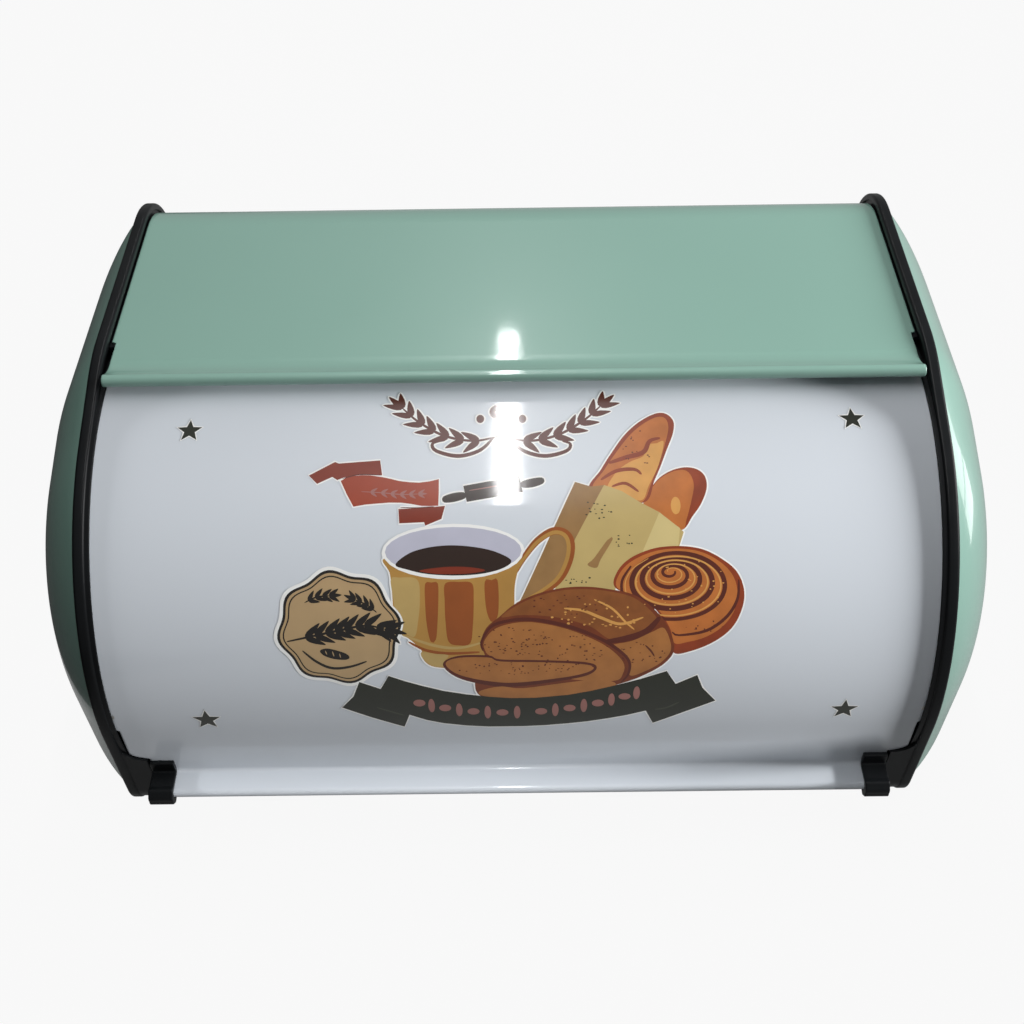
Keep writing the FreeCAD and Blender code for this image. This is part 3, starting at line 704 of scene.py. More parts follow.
picture = [
    ("wine", "stroke", ((-7, 4.1), (-12, 9.3), (-19.8, 11.5), (-27.6, 9.4), (-29, 6.6), (-26.2, 5.5)), 1.5),
    ("wine", "stroke", ((-2, 4.2), (2.9, 9.5), (10.7, 11.9), (18.5, 10.1), (20, 7.3), (17.2, 6.1)), 1.5),
    ("wine", "ear", ((-4.8, 3.7), (-14.1, 5.6), (-24.8, 3.4), (-34.2, -2.6), (-40.2, -8.8)), 7, 7.4, 3),
    ("wine", "ear", ((-4.1, 3.7), (5.1, 5.9), (15.8, 3.6), (25.3, -2.5), (31.4, -8.6)), 7, 7.4, 3),
    ("wine", "oval", (-4.4, -6.5), (4.3, 3.5)),
    ("cream", "stroke", ((-6.6, -7), (-5.5, -4.3)), 0.5),
    ("cream", "stroke", ((-4.8, -7.2), (-3.7, -4.3)), 0.5),
    ("wine", "oval", (-12, -3.5), (1.4, 1.8)),
    ("wine", "oval", (3.1, -3.3), (1.4, 1.8)),
    ("coffee", "flat", ((-18, 22.7), (1.7, 19.3), (2.9, 25.2), (-16.8, 28.5))),
    ("coffee", "stroke", ((-17, 26), (-21.2, 26.8), (-25.4, 27.7)), 3.2),
    ("coffee", "stroke", ((2.1, 22.6), (6.3, 21.9), (10.5, 20.9)), 3.2),
    ("rose", "stroke", ((-15.9, 24.4), (-7.8, 23.1), (0.7, 21.5)), 0.4),
    ("brickDark", "flat", ((-72.5, 18.2), (-63.4, 13.2), (-62, 13.8), (-47.4, 12.8), (-46.6, 18.3),
     (-54, 18.1), (-60.1, 19.1), (-62.4, 20), (-64.2, 18.8), (-69.5, 21.3))),
    ("brickDark", "flat", ((-40.8, 30.7), (-32.7, 30.5), (-24.4, 29.8), (-25.7, 34.4), (-31.4, 36.7),
     (-31.8, 35.5), (-40.5, 35.8))),
    ("brick", "flat", ((-61.2, 20.3), (-59.3, 19.2), (-56.9, 18.6), (-54, 18.3), (-50.8, 18.4),
     (-46.6, 19.1), (-43.5, 19.8), (-40.6, 20.6), (-37, 21.1), (-33.5, 21.3), (-29.9, 20.9), (-26.6, 20.1),
     (-26.6, 24.9), (-26.8, 29.7), (-29.7, 29.8), (-32.7, 29.7), (-36.2, 29), (-39.7, 28.5), (-44.1, 28.4),
     (-48.4, 28.7), (-52.4, 29), (-56.6, 29.7), (-59, 25.2))),
    ("wine", "stroke", ((-60.6, 19.5), (-54.7, 18.1), (-46.6, 18.4)), 0.4),
    ("wine", "stroke", ((-40.1, 30.2), (-34.3, 30.4), (-28.2, 30)), 0.4),
    ("rose", "ear", ((-53.9, 24.3), (-46.8, 24.8), (-39.7, 25.5), (-33.5, 25.4)), 6, 2.8, 1.1),
    ("crustDark", "soft", ((45.1, 30.6), (49.2, 22.6), (54.1, 18.6), (59.7, 16.9), (64.3, 17.6),
     (67, 20.2), (67.5, 24.5), (65.4, 30), (62.1, 34.7), (58.5, 39.3), (51.9, 38.5))),
    ("crust", "soft", ((45.1, 30.6), (49.2, 23.1), (54, 19.2), (59.2, 17.8), (61.9, 19.5), (63, 23.6),
     (61.9, 29.2), (60.1, 35.5), (58.5, 39.3), (51.9, 38.5))),
    ("crustLight", "oval", (56.4, 30.7), (1.7, 3.1)),
    ("crustDark", "soft", ((26.4, 24.7), (30.5, 17.4), (34.7, 10.7), (39.7, 3.6), (45.6, -1.9), (51.4, -5),
     (55, -4.5), (57.2, -1.2), (56.6, 3.8), (54.1, 10.1), (51.4, 16.9), (49.2, 21.8), (46.3, 29),
     (38.8, 28.9))),
    ("crust", "soft", ((27.6, 24.7), (31.7, 17.5), (36.3, 10.7), (41.3, 4.1), (46.3, -0.5), (51.3, -3.3),
     (54.3, -2.7), (55.2, 1), (54, 6.5), (51.5, 14.3), (48.4, 21.8), (45.1, 29), (38.8, 29.7))),
    ("crustLight", "soft", ((32.6, 24.8), (36, 18.3), (40.9, 14.6), (45.7, 12.4), (47.5, 8.2), (50.7, 7.5),
     (53.1, 6.7), (52.2, 11.8), (50.2, 17.7), (47.2, 23.4), (44.7, 28.6), (38.9, 27.3))),
    ("crustDark", "stroke", ((33.4, 14.9), (39.4, 12.9), (45.8, 10.9), (48.2, 6.6), (52, 5.4)), 1.8),
    ("crustDark", "stroke", ((30.4, 21.1), (36, 17.9), (42.3, 17.4), (44.8, 19.3)), 1.4),
    ("crustDark", "stroke", ((34.2, 23.6), (39, 22.5), (43.6, 25.6)), 1.1),
    ("kraftDark", "flat", ((21.3, 21.7), (26.8, 23.5), (31.9, 23), (26.2, 35), (17.3, 52.2), (12.6, 60),
     (1.2, 64.3), (13.2, 38.8))),
    ("kraft", "flat", ((31.5, 23), (37.7, 25.3), (43.9, 29.3), (50.8, 33.1), (57.7, 38.9), (59, 40),
     (57, 46), (44.7, 49.4), (35.3, 54.8), (34.9, 60.7), (13.4, 60.5), (21, 42))),
    ("kraftLight", "flat", ((50.6, 33.1), (57.7, 38.7), (57, 45), (49.4, 46.3), (44.3, 47.2))),
    ("kraftDark", "soft", ((32.3, 42.5), (34.2, 42.1), (29.9, 49.2), (28.4, 52.2), (25.2, 51.1),
     (27.5, 48.8))),
    ("olive", "dots", (29.4, 31.9), (5.5, 3.9), 16, 0.5),
    ("olive", "dots", (38.5, 43), (3.9, 2.4), 9, 0.45),
    ("olive", "dots", (22, 56.6), (5.5, 1.7), 10, 0.5),
    ("goldDark", "stroke", ((-0.2, 53.9), (2.9, 48.5), (7.7, 42.6), (13.2, 39.2), (17.6, 40), (19.5, 43.7),
     (18.6, 49.9), (15.1, 56.3), (8.6, 61.2), (0, 65.1)), 2.8),
    ("gold", "stroke", ((0.1, 53.4), (3.3, 48.2), (7.9, 42.8), (13.3, 39.7), (17.2, 40.5), (18.7, 44),
     (17.9, 49.5), (14.6, 55.8), (8.3, 60.6), (0.3, 64.7)), 1.4),
    ("gold", "soft", ((-45.9, 48.1), (-44.1, 53), (-43.5, 58.5), (-43.2, 65), (-42.8, 70.8), (-40.6, 75.1),
     (-36.8, 78.6), (-33.7, 82.3), (-33.5, 85.5), (-30.4, 88.7), (-23.7, 89.7), (-13.3, 89.3),
     (-5.2, 83.6), (-1.2, 76.5), (-0.6, 66.3), (-0.3, 58.3), (0.9, 52.8), (2.5, 48.5), (-9.4, 50.3),
     (-32.8, 50))),
    ("goldLight", "soft", ((-43.7, 55.4), (-40.7, 54.8), (-34.5, 55.6), (-33.7, 62.7), (-34.6, 70.9),
     (-36.2, 76.7), (-40.6, 73.8), (-42.4, 69.1), (-43, 62.5))),
    ("goldDark", "soft", ((-31.7, 57.1), (-29.5, 56.7), (-27.3, 57), (-27.2, 62.7), (-27.7, 71),
     (-28.5, 77.9), (-30.3, 78.7), (-31.5, 72.6), (-31.9, 64.3))),
    ("goldDark", "soft", ((-24.7, 57.2), (-19.7, 56.6), (-15.3, 57.2), (-14.8, 62.9), (-15.3, 72.8),
     (-16.4, 79.5), (-20.2, 80.3), (-24, 78.8), (-24.9, 71), (-25, 63.6))),
    ("goldDark", "soft", ((-10.8, 56.6), (-8.4, 56.1), (-6.4, 56), (-6, 63), (-6.6, 69.6), (-8.8, 71.2),
     (-10.5, 66.2))),
    ("goldLight", "stroke", ((-40.5, 75.8), (-33.6, 78.7), (-28.9, 80.3), (-23.4, 81.3), (-17.8, 80.9),
     (-11.5, 79)), 1.1),
    ("goldDark", "stroke", ((-38.3, 78.6), (-32.1, 82.1), (-24.3, 83.5), (-13.1, 83.1)), 1.2),
    ("goldLight", "soft", ((-33.8, 82.8), (-29, 83.6), (-24.3, 84.3), (-26, 87), (-26.1, 89.1),
     (-30.4, 88.5), (-33.4, 85.6))),
    ("cream", "oval", (-21.7, 46.2), (24.6, 9.5)),
    ("lilac", "oval", (-21.7, 45.8), (23.9, 8.5)),
    ("coffee", "soft", ((-42, 50.3), (-37.5, 46.5), (-31.2, 44.5), (-23.4, 43.7), (-14.8, 44.3),
     (-7, 46.1), (-1.4, 49.3), (-4.8, 52.1), (-12.6, 53.9), (-22, 54.3), (-31.3, 53.6), (-37.6, 52.1))),
    ("brickDark", "soft", ((-33.7, 52.5), (-27.4, 51.5), (-21.2, 51.2), (-14.9, 51.6), (-10.6, 52.6),
     (-14.9, 53.5), (-21.2, 53.8), (-28.2, 53.6))),
    ("crustDark", "soft", ((34.7, 59.1), (35.4, 54), (39.8, 49.2), (47.8, 45.8), (56.4, 44.9), (65, 46),
     (72.2, 49.6), (77.6, 54.4), (80.1, 61.3), (79.2, 68.4), (75.8, 75.1), (69.6, 80.3), (61.7, 83.8),
     (55.9, 84.3), (54.3, 76.4), (48.7, 67), (41.6, 62.8))),
    ("crust", "soft", ((35.4, 59.1), (36.4, 54.4), (40.6, 50.1), (48.1, 46.8), (56.4, 45.8), (64.7, 47),
     (71.4, 50.5), (75.9, 55.3), (77.7, 61.3), (76.7, 68.2), (72.9, 74), (67, 78.1), (60.7, 80),
     (56, 80.4), (54.3, 74.6), (49.5, 67), (41.6, 62.4))),
    ("wine", "spiral", (54.4, 53.3), (56.3, 59.4), (19.6, 13.1), 4.6, 0.0, 1.9),
    ("crustLight", "spiral", (54.4, 53.3), (56.3, 59.4), (18.6, 12.1), 4.2, 2.9, 0.6),
    ("wine", "stroke", ((78.1, 56.9), (77.7, 64.1), (73.9, 70.7), (67, 75.7), (57.5, 77.3), (55.1, 76)),
     1.2),
    ("wine", "dots", (65.3, 73.9), (7.8, 2.6), 14, 0.4),
    ("loafDark", "soft", ((-5.6, 69.2), (-0.8, 65.1), (6.3, 61.6), (14.9, 59.4), (23.5, 58.8),
     (32.1, 59.7), (41.5, 62), (48.7, 67.4), (53.7, 74.2), (56, 82.7), (52.8, 88.7), (45.4, 93.9),
     (37.1, 97.7), (18.2, 104.2), (-1.3, 104.4), (-12.8, 103.1), (-15.1, 96), (-11.2, 86.3), (-12.6, 79.9),
     (-10.6, 73.7))),
    ("loaf", "soft", ((-5.2, 69.6), (-0.3, 65.7), (6.7, 62.4), (15.3, 60.2), (23.5, 59.7), (32, 60.5),
     (40.9, 62.8), (47.3, 67.8), (49.5, 72), (43.3, 76.2), (33.8, 78.7), (25.9, 73.4), (14.1, 69.9),
     (2.3, 68.9))),
    ("crustLight", "stroke", ((16.9, 66.6), (23.5, 67.5), (29.8, 70.2), (36.9, 72.7), (44.8, 70.3)), 1.1),
    ("crustLight", "stroke", ((27.5, 63.5), (33.7, 66.8), (38.5, 71.9), (41.7, 74.9)), 0.8),
    ("wine", "stroke", ((31.1, 79.6), (38.6, 78.4), (45.7, 75.8), (50.7, 70.3)), 2.5),
    ("loafFace", "soft", ((33.9, 81), (41, 79.3), (48, 75.9), (52.3, 74.6), (54.9, 82.6), (51.6, 88.2),
     (45.3, 92.4), (40.6, 93.8), (39.8, 88), (37.1, 83.8))),
    ("wine", "stroke", ((45.7, 81.1), (47.8, 83.5), (49.1, 85.8)), 0.7),
    ("wine", "dots", (45.1, 84.3), (8.5, 4.9), 26, 0.45),
    ("crustLight", "dots", (27.5, 70), (16.2, 5.3), 40, 0.6),
    ("wine", "dots", (18, 65.4), (14.1, 3.6), 30, 0.5),
    ("wine", "stroke", ((-11.9, 82.6), (-12.4, 79), (-9, 73.3), (-3.2, 71.1), (5.4, 70.6), (16.4, 72.8),
     (25.9, 76.4), (33.9, 81), (39.8, 87), (40.1, 92.8), (37.5, 97.1)), 1.4),
    ("loafFace", "soft", ((-11.1, 82.6), (-11.5, 79), (-8.2, 74.5), (-2.5, 72.2), (5.4, 71.6),
     (16.4, 73.9), (25.9, 77.8), (33.1, 82.3), (38, 88), (38.1, 92.8), (34.6, 96.3), (18.1, 95),
     (-1.1, 89.3), (-9.2, 84.9))),
    ("wine", "soft", ((-26.4, 88), (-21.1, 84.6), (-10, 84.5), (-5.8, 86.2), (10.1, 86.8), (24.5, 87.8),
     (28.6, 89.9), (26.1, 93.2), (18.1, 95.5), (0.4, 98.4), (-10.3, 97.7), (-21.4, 93.9))),
    ("loafFace", "soft", ((-25.4, 87.8), (-20.8, 85.4), (-10, 85.4), (-5.8, 87.1), (10.1, 87.7),
     (23.7, 88.7), (27.5, 90.1), (25.3, 92.2), (17.3, 94.3), (0.4, 96.5), (-10.2, 95.7), (-21, 92.5))),
    ("loafFace", "soft", ((-13.6, 100.5), (-6.2, 98.3), (2, 99.2), (18.1, 96.8), (29.4, 95.5),
     (35.5, 97.4), (32.7, 100.2), (18.2, 103.3), (2, 104.1), (-11.6, 103))),
    ("wine", "dots", (-1, 79.1), (14.2, 5.5), 60, 0.5),
    ("wine", "dots", (20.4, 84), (12.8, 7.4), 50, 0.5),
    ("wine", "dots", (-1.1, 90.3), (21.5, 2.6), 44, 0.45),
    ("cream", "badge", (-62.6, 73.9), 22.0),
    ("night", "badge", (-62.6, 73.9), 21.3),
    ("tan", "badge", (-62.6, 73.9), 20.3),
    ("night", "badge", (-62.6, 73.9), 19.4),
    ("tan", "badge", (-62.6, 73.9), 18.9),
    ("night", "ear", ((-81.4, 78), (-73, 76.2), (-62.6, 73.9), (-53.1, 72.2), (-46.1, 73.7)), 9, 7.7, 2.8),
    ("night", "stroke", ((-76.1, 81.7), (-71.4, 86.3), (-66, 89.1), (-59.6, 88.6), (-53.5, 86.4)), 1.1),
    ("night", "soft", ((-69.9, 81.8), (-67.7, 80.9), (-64.6, 81.5), (-60.8, 83), (-59.5, 84.5),
     (-60.6, 85.6), (-64.9, 85.3), (-68.6, 83.8))),
    ("tan", "stroke", ((-68, 81.8), (-67.5, 83.4)), 0.4),
    ("tan", "stroke", ((-65.5, 82.1), (-65, 84.2)), 0.4),
    ("tan", "stroke", ((-63, 83), (-62.7, 84.8)), 0.4),
    ("night", "ear", ((-74.3, 63.4), (-69.9, 61.4), (-65.2, 61)), 4, 4.2, 1.8),
    ("night", "ear", ((-49, 67.3), (-52.4, 64.5), (-56.6, 62.5)), 4, 4.2, 1.8),
    ("olive", "flat", ((-64.1, 108), (-59.4, 102.3), (-56.8, 95.4), (-49.3, 98.8), (-46.1, 92.8),
     (-37.9, 103.2), (-39.7, 112.5), (-42, 119.8), (-53.4, 113.9))),
    ("olive", "flat", ((72.2, 106.6), (67, 100), (64.8, 94), (57.2, 98), (53.7, 92), (45.8, 104.7),
     (47.2, 111.9), (50.1, 119.2), (61.9, 112.2))),
    ("olive", "flat", ((-46.1, 92.8), (-40.3, 95.3), (-34.4, 97.5), (-26.5, 100.1), (-18.4, 101.9),
     (-10.4, 103.2), (-2.3, 104.1), (6.9, 104), (18.2, 102.8), (26.3, 101), (34.3, 98.7), (43.9, 95.7),
     (53.7, 92.1), (55, 101.5), (47.1, 111.7), (40.2, 114.1), (33.3, 116), (25.9, 117.7), (18.5, 118.9),
     (10.2, 119.9), (1.9, 120.4), (-10.8, 120.4), (-19, 119.5), (-27.2, 117.9), (-33.6, 115.7),
     (-39.7, 112.5), (-46, 102))),
    ("oliveLight", "stroke", ((-51.3, 108.2), (-45.8, 110.8), (-41.6, 112.8)), 0.7),
    ("oliveLight", "stroke", ((59, 107.2), (54.3, 110.2), (50.3, 111)), 0.7),
    ("rose", "row", ((-35.7, 106.1), (-31.3, 107.6), (-26.4, 108.9), (-21.3, 110.1), (-16.1, 111),
     (-10.9, 111.6), (-5.5, 111.8), (-0.1, 111.8), (8.7, 111.4), (13.9, 110.7), (19.1, 109.7),
     (24.3, 108.5), (29.4, 107.2)), (2.2, 1.8), (1.2, 3.6)),
    ("rose", "row", ((34.3, 105.5), (39, 103.9), (43.3, 102.2)), (1.2, 3.2), (2.2, 1.6)),
    ("olive", "star", (-116.1, 0), 4.7),
    ("olive", "star", (121, -1.5), 4.7),
    ("olive", "star", (-114.6, 114.1), 5.4),
    ("olive", "star", (119.9, 112.2), 5.2),
    ("crustLight", "dots", (57.2, 59), (17.5, 10), 36, 0.45),
    ("wine", "dots", (44.3, 9.1), (5.7, 8), 14, 0.45),
]


def spline(points, closed, step=1.0):
    # smooth line through the points
    count = len(points)
    line = []
    for i in range(count if closed else count - 1):
        near = [(i + k) % count if closed else min(max(i + k, 0), count - 1) for k in (-1, 0, 1, 2)]
        a, b, c, d = (points[k] for k in near)
        pieces = max(2, math.ceil(math.dist(b, c) / step))
        for k in range(pieces):
            t = k / pieces
            line.append(tuple(
                q + 0.5 * t * (r - p + t * (2 * p - 5 * q + 4 * r - s + t * (3 * (q - r) + s - p)))
                for p, q, r, s in zip(a, b, c, d)))
    return line if closed else line + [points[-1]]


def brush(points, width, ends=0.3):
    # a stroke along the points, thinner towards both ends
    line = spline(points, False)
    last = len(line) - 1
    sides = ([], [])
    for i, (x, y) in enumerate(line):
        before, after = line[max(i - 1, 0)], line[min(i + 1, last)]
        goX, goY = after[0] - before[0], after[1] - before[1]
        swell = abs(math.sin(math.pi * i / last)) ** 0.5
        half = width / 2 * (ends + (1 - ends) * swell) / math.hypot(goX, goY)
        sides[0].append((x - goY * half, y + goX * half))
        sides[1].append((x + goY * half, y - goX * half))
    return sides[0] + sides[1][::-1]


def oval(middle, reach, count=28):
    turns = [2 * math.pi * k / count for k in range(count)]
    return [(middle[0] + reach[0] * math.cos(a), middle[1] + reach[1] * math.sin(a)) for a in turns]


def leaf(x, y, way, length, width):
    points = []
    for k in range(12):
        a = math.pi * k / 6
        along = length / 2 * (1 - math.cos(a))
        across = width * 0.6 * math.sin(a) * (0.65 + 0.35 * math.cos(a))
        points.append((x + along * math.cos(way) - across * math.sin(way),
                       y + along * math.sin(way) + across * math.cos(way)))
    return points


def wheatEar(path, count, length, width):
    # a stem with pairs of grains along it and one at its tip
    line = spline(path, False, 0.5)
    made = [brush(path, width * 0.35)]
    for k in range(count):
        i = round((len(line) - 2) * (0.2 + 0.8 * k / (count - 1)))
        way = math.atan2(line[i + 1][1] - line[i][1], line[i + 1][0] - line[i][0])
        made += [leaf(*line[i], way + turn, length, width) for turn in (-0.6, 0.6)]
    return made + [leaf(*line[-1], way, length, width)]


def coil(first, last, reach, turns, phase, width):
    points = []
    count = round(turns * 14)
    for k in range(count + 1):
        share = 0.06 + 0.94 * k / count
        a = phase + 2 * math.pi * turns * k / count
        points.append((first[0] + (last[0] - first[0]) * share + reach[0] * share * math.cos(a),
                       first[1] + (last[1] - first[1]) * share + reach[1] * share * math.sin(a)))
    return brush(points, width)


def scallop(middle, radius):
    points = []
    for k in range(96):
        a = 2 * math.pi * k / 96
        r = radius * (1 + 0.045 * math.cos(8 * a + 1.2))
        points.append((middle[0] + r * math.cos(a), middle[1] + r * math.sin(a)))
    return points


def starShape(middle, radius):
    points = []
    for k in range(10):
        a = math.pi * (k / 5 - 0.5)
        r = radius * (0.42 if k % 2 else 1.0)
        points.append((middle[0] + r * math.cos(a), middle[1] + r * math.sin(a)))
    return points


def speckles(middle, reach, count, size):
    made = []
    for _ in range(count):
        a, far = chance.uniform(0, 2 * math.pi), math.sqrt(chance.random())
        spot = (middle[0] + reach[0] * far * math.cos(a), middle[1] + reach[1] * far * math.sin(a))
        made.append(oval(spot, (size * chance.uniform(0.5, 1.0), size * chance.uniform(0.3, 0.7)), 7))
    return made


drawn = {
    "flat": lambda points: [list(points)],
    "soft": lambda points: [spline(points, True)],
    "stroke": lambda points, width: [brush(points, width)],
    "oval": lambda middle, reach: [oval(middle, reach)],
    "row": lambda spots, *reaches: [oval(spot, reaches[i % 2]) for i, spot in enumerate(spots)],
    "ear": wheatEar,
    "spiral": lambda *values: [coil(*values)],
    "badge": lambda middle, radius: [scallop(middle, radius)],
    "star": lambda middle, radius: [starShape(middle, radius)],
    "dots": speckles,
}


def turnedLeft(line):
    # the outline so that its inside lies to the left of its walk
    area = sum(x0 * y1 - x1 * y0 for (x0, y0), (x1, y1) in zip(line, line[1:] + line[:1]))
    return line if area > 0 else line[::-1]


def grown(line, reach):
    moved = []
    for i, (x, y) in enumerate(line):
        before, after = line[i - 1], line[(i + 1) % len(line)]
        goX, goY = after[0] - before[0], after[1] - before[1]
        size = math.hypot(goX, goY)
        moved.append((x + goY / size * reach, y - goX / size * reach))
    return moved


def pictureShapes():
    # every outline with its ink, from the lowest to the topmost; the pale edges lie under them all
    shapes, halos = [], []
    for ink, kind, *values in picture:
        for line in drawn[kind](*values):
            line = turnedLeft(line)
            shapes.append((ink, line))
            if kind != "dots":
                halos.append(("cream", grown(line, printed["halo"])))
    return halos + shapes


def layPicture(shapes):
    # cuts all the outlines into one flat net of triangles, each with the topmost shape over it
    spots, faces, lines = [], [], []
    for ink, line in shapes:
        faces.append(list(range(len(spots), len(spots) + len(line))))
        spots += [Vector(p) for p in line]
    low, high = min(p.y for p in spots), max(p.y for p in spots)
    count = math.ceil((high - low) / printed["slice"])
    for k in range(1, count):                # the picture bends round the lid along these lines
        v = low + (high - low) * k / count
        lines.append((len(spots), len(spots) + 1))
        spots += [Vector((-printed["reach"], v)), Vector((printed["reach"], v))]
    net = delaunay_2d_cdt(spots, lines, faces, 0, 1e-4, True)
    return net[0], [(face, max(over)) for face, over in zip(net[2], net[5]) if over]


def makePrint():
    shapes = pictureShapes()
    spots, cut = layPicture(shapes)
    used = sorted({i for face, top in cut for i in face})
    place = {i: k for k, i in enumerate(used)}
    count = len(used)
    points, normals = [], []
    for depth, way in zip(printed["depths"], (1, -1)):
        for i in used:
            angle = printed["start"] - math.degrees(spots[i][1] / lidSheet["radius"])
            y, z = onArc(1, angle)
            reach = lidSheet["radius"] + depth
            points.append(toFrame(spots[i][0], y * reach, z * reach))
            normals.append((0, y * way, z * way))
    order = list(inks)
    faces, colours, sides = [], [], {}
    for face, top in cut:
        corners = [place[i] for i in face]
        ink = order.index(shapes[top][0])
        faces += [corners[::-1], [i + count for i in corners]]
        colours += [ink, ink]
        for a, b in zip(corners, corners[1:] + corners[:1]):
            sides[a, b] = ink
    for (a, b), ink in sides.items():        # walls round the edge of each printed patch
        if (b, a) not in sides:
            faces.append([a, b, b + count, a + count])
            colours.append(ink)
    mesh = bpy.data.meshes.new("lidPrint")
    mesh.from_pydata(points, [], faces)
    for name in order:
        colour, drift, cloud = inks[name]
        mesh.materials.append(enamelPaint(name + "Ink", colour, drift, cloud))
    for polygon, ink in zip(mesh.polygons, colours):
        polygon.use_smooth = True
        polygon.material_index = ink
    mesh.normals_split_custom_set_from_vertices(normals)
    return linked("lidPrint", mesh)


lidPrint = makePrint()
print("picture printed")

# domed end panels
panel = {
    "bulge": 28.5, "power": 3.0, "edge": 1.2,
    "inset": 3.0, "flange": 1.4, "neck": 1.3, "soft": 0.15, "fold": 0.25,
    "centre": (0.0, 0.0), "rings": 44,
    "seat": 2.2,            # how deep in the frame its flange lies
}
webOut = halfWidth - panel["seat"]


def domeTree():
    # presses the flat blank out into a dome: rise = depth * (1 - share^power)^(1/edge)
    tree, given, result = newTree("domePress", [
        ("Bulge", "NodeSocketFloat", panel["bulge"] * mm), ("Sheet", "NodeSocketFloat", sheet * mm),
        ("Power", "NodeSocketFloat", panel["power"]), ("Edge", "NodeSocketFloat", panel["edge"]),
        ("Side", "NodeSocketFloat", 1.0), ("Material", "NodeSocketMaterial", None)])
    inside, share = (storedValue(tree, label, "FLOAT") for label in ("shell", "share"))
    lost = mathNode(tree, "MULTIPLY", inside, given.outputs["Sheet"])
    depth = mathNode(tree, "SUBTRACT", given.outputs["Bulge"], lost)
    taken = mathNode(tree, "POWER", share, given.outputs["Power"])
    left = mathNode(tree, "MAXIMUM", mathNode(tree, "SUBTRACT", 1.0, taken), 0.0)
    curve = mathNode(tree, "POWER", left, mathNode(tree, "DIVIDE", 1.0, given.outputs["Edge"]))
    rise = mathNode(tree, "MULTIPLY", mathNode(tree, "MULTIPLY", depth, curve), given.outputs["Side"])
    offset = addNode(tree, "ShaderNodeCombineXYZ", {"X": rise})
    press = addNode(tree, "GeometryNodeSetPosition", {
        "Geometry": given.outputs["Geometry"], "Offset": offset.outputs["Vector"]})
    endTree(tree, given, result, press.outputs["Geometry"])
    return tree


def makePanel(name, side, tree):
    flangeX = webOut + shell["lapGap"]
    neckX = flangeX + panel["neck"]
    flangeInset = panel["inset"] - panel["flange"]
    bm = bmesh.new()
    shareLayer = bm.verts.layers.float.new("share")
    shellLayer = bm.verts.layers.float.new("shell")
    centreY, centreZ = panel["centre"]

    def ring(inset, x, share, wall):
        made = []
        for y, z, ny, nz, circle in outline(inset):
            spotY = centreY + (y - centreY) * share
            spotZ = centreZ + (z - centreZ) * share
            vert = bm.verts.new(toFrame(side * x, spotY, spotZ))
            vert[shareLayer], vert[shellLayer] = share, wall
            made.append(vert)
        return made

    def dome(inset, wall):
        rings, count = [], panel["rings"]
        for k in range(count):
            a = math.radians(90 * k / count)
            rings.append(ring(inset, neckX, math.cos(a) ** (2 / panel["power"]), wall))
        stitch(bm, rings)
        pole = bm.verts.new(toFrame(side * neckX, centreY, centreZ))
        pole[shareLayer], pole[shellLayer] = 0.0, wall
        last = rings[-1]
        for j in range(len(last)):
            bm.faces.new((last[j], last[(j + 1) % len(last)], pole))
        return rings[0]

    outer = dome(panel["inset"], 0.0)
    inner = dome(panel["inset"] + sheet, 1.0)
    soft, fold = panel["soft"], panel["fold"]
    steps = [(panel["inset"] + sheet, flangeX), (flangeInset + soft, flangeX), (flangeInset, flangeX + soft),
             (flangeInset, flangeX + sheet - soft), (flangeInset + soft, flangeX + sheet),
             (panel["inset"] - fold, flangeX + sheet), (panel["inset"], flangeX + sheet + fold)]
    edge = [inner] + [ring(inset, x, 1.0, 0.0) for inset, x in steps] + [outer]
    stitch(bm, edge)
    blank = newPiece(name + "Blank", bm, mintEnamel)
    piece = runTree(blank, tree, {"Side": float(side), "Material": mintEnamel}, name)
    piece.data.set_sharp_from_angle(angle=math.radians(40))
    for label in ("share", "shell"):
        piece.data.attributes.remove(piece.data.attributes[label])
    return piece


panels = bothSides(makePanel, "endPanel", domeTree())
print("end panels pressed")

# moulded side frames
moulding = {
    "beadWidth": 4.4, "beadDepth": 2.6, "beadRound": 1.1,
    "webReach": 3.6, "ring": 12.0,
    "ledgeReach": 6.0, "ledge": 0.8, "railReach": 7.5, "rail": 2.4,
    "shelfReach": 10.6, "shelf": 1.6, "grooveWidth": 1.15, "grooveInset": 1.5,
    "trackLow": -12.0, "trackHigh": 192.25, "trackStop": 3.0,
    "gussetTop": -13.0, "gussetReach": 12.8, "gusset": 1.8, "gussetSink": 0.5,
    "bossRadius": 3.2, "bossLength": 7.0, "bossRim": 0.4,
    "sink": 0.3,            # how far each rib is let into the web
    "ledgeFit": 0.3,        # the lid's clearance under the ledge
    "thinEdge": 0.2, "thickEdge": 0.3,
}
glidePad = {"thick": 1.6, "fit": 0.2, "width": 3.2, "length": 8.0, "end": 1.0, "sideGap": 0.3, "stud": 1.2}
ledgeRadius = lidSheet["radius"] + moulding["ledgeFit"]
railRadius = lidSheet["radius"] - sheet - glidePad["thick"] - glidePad["fit"]
screwSpot = {"x": halfWidth - 7.6, "backHeights": (58.0, -8.0), "basePlaces": (-30.0, 66.0)}


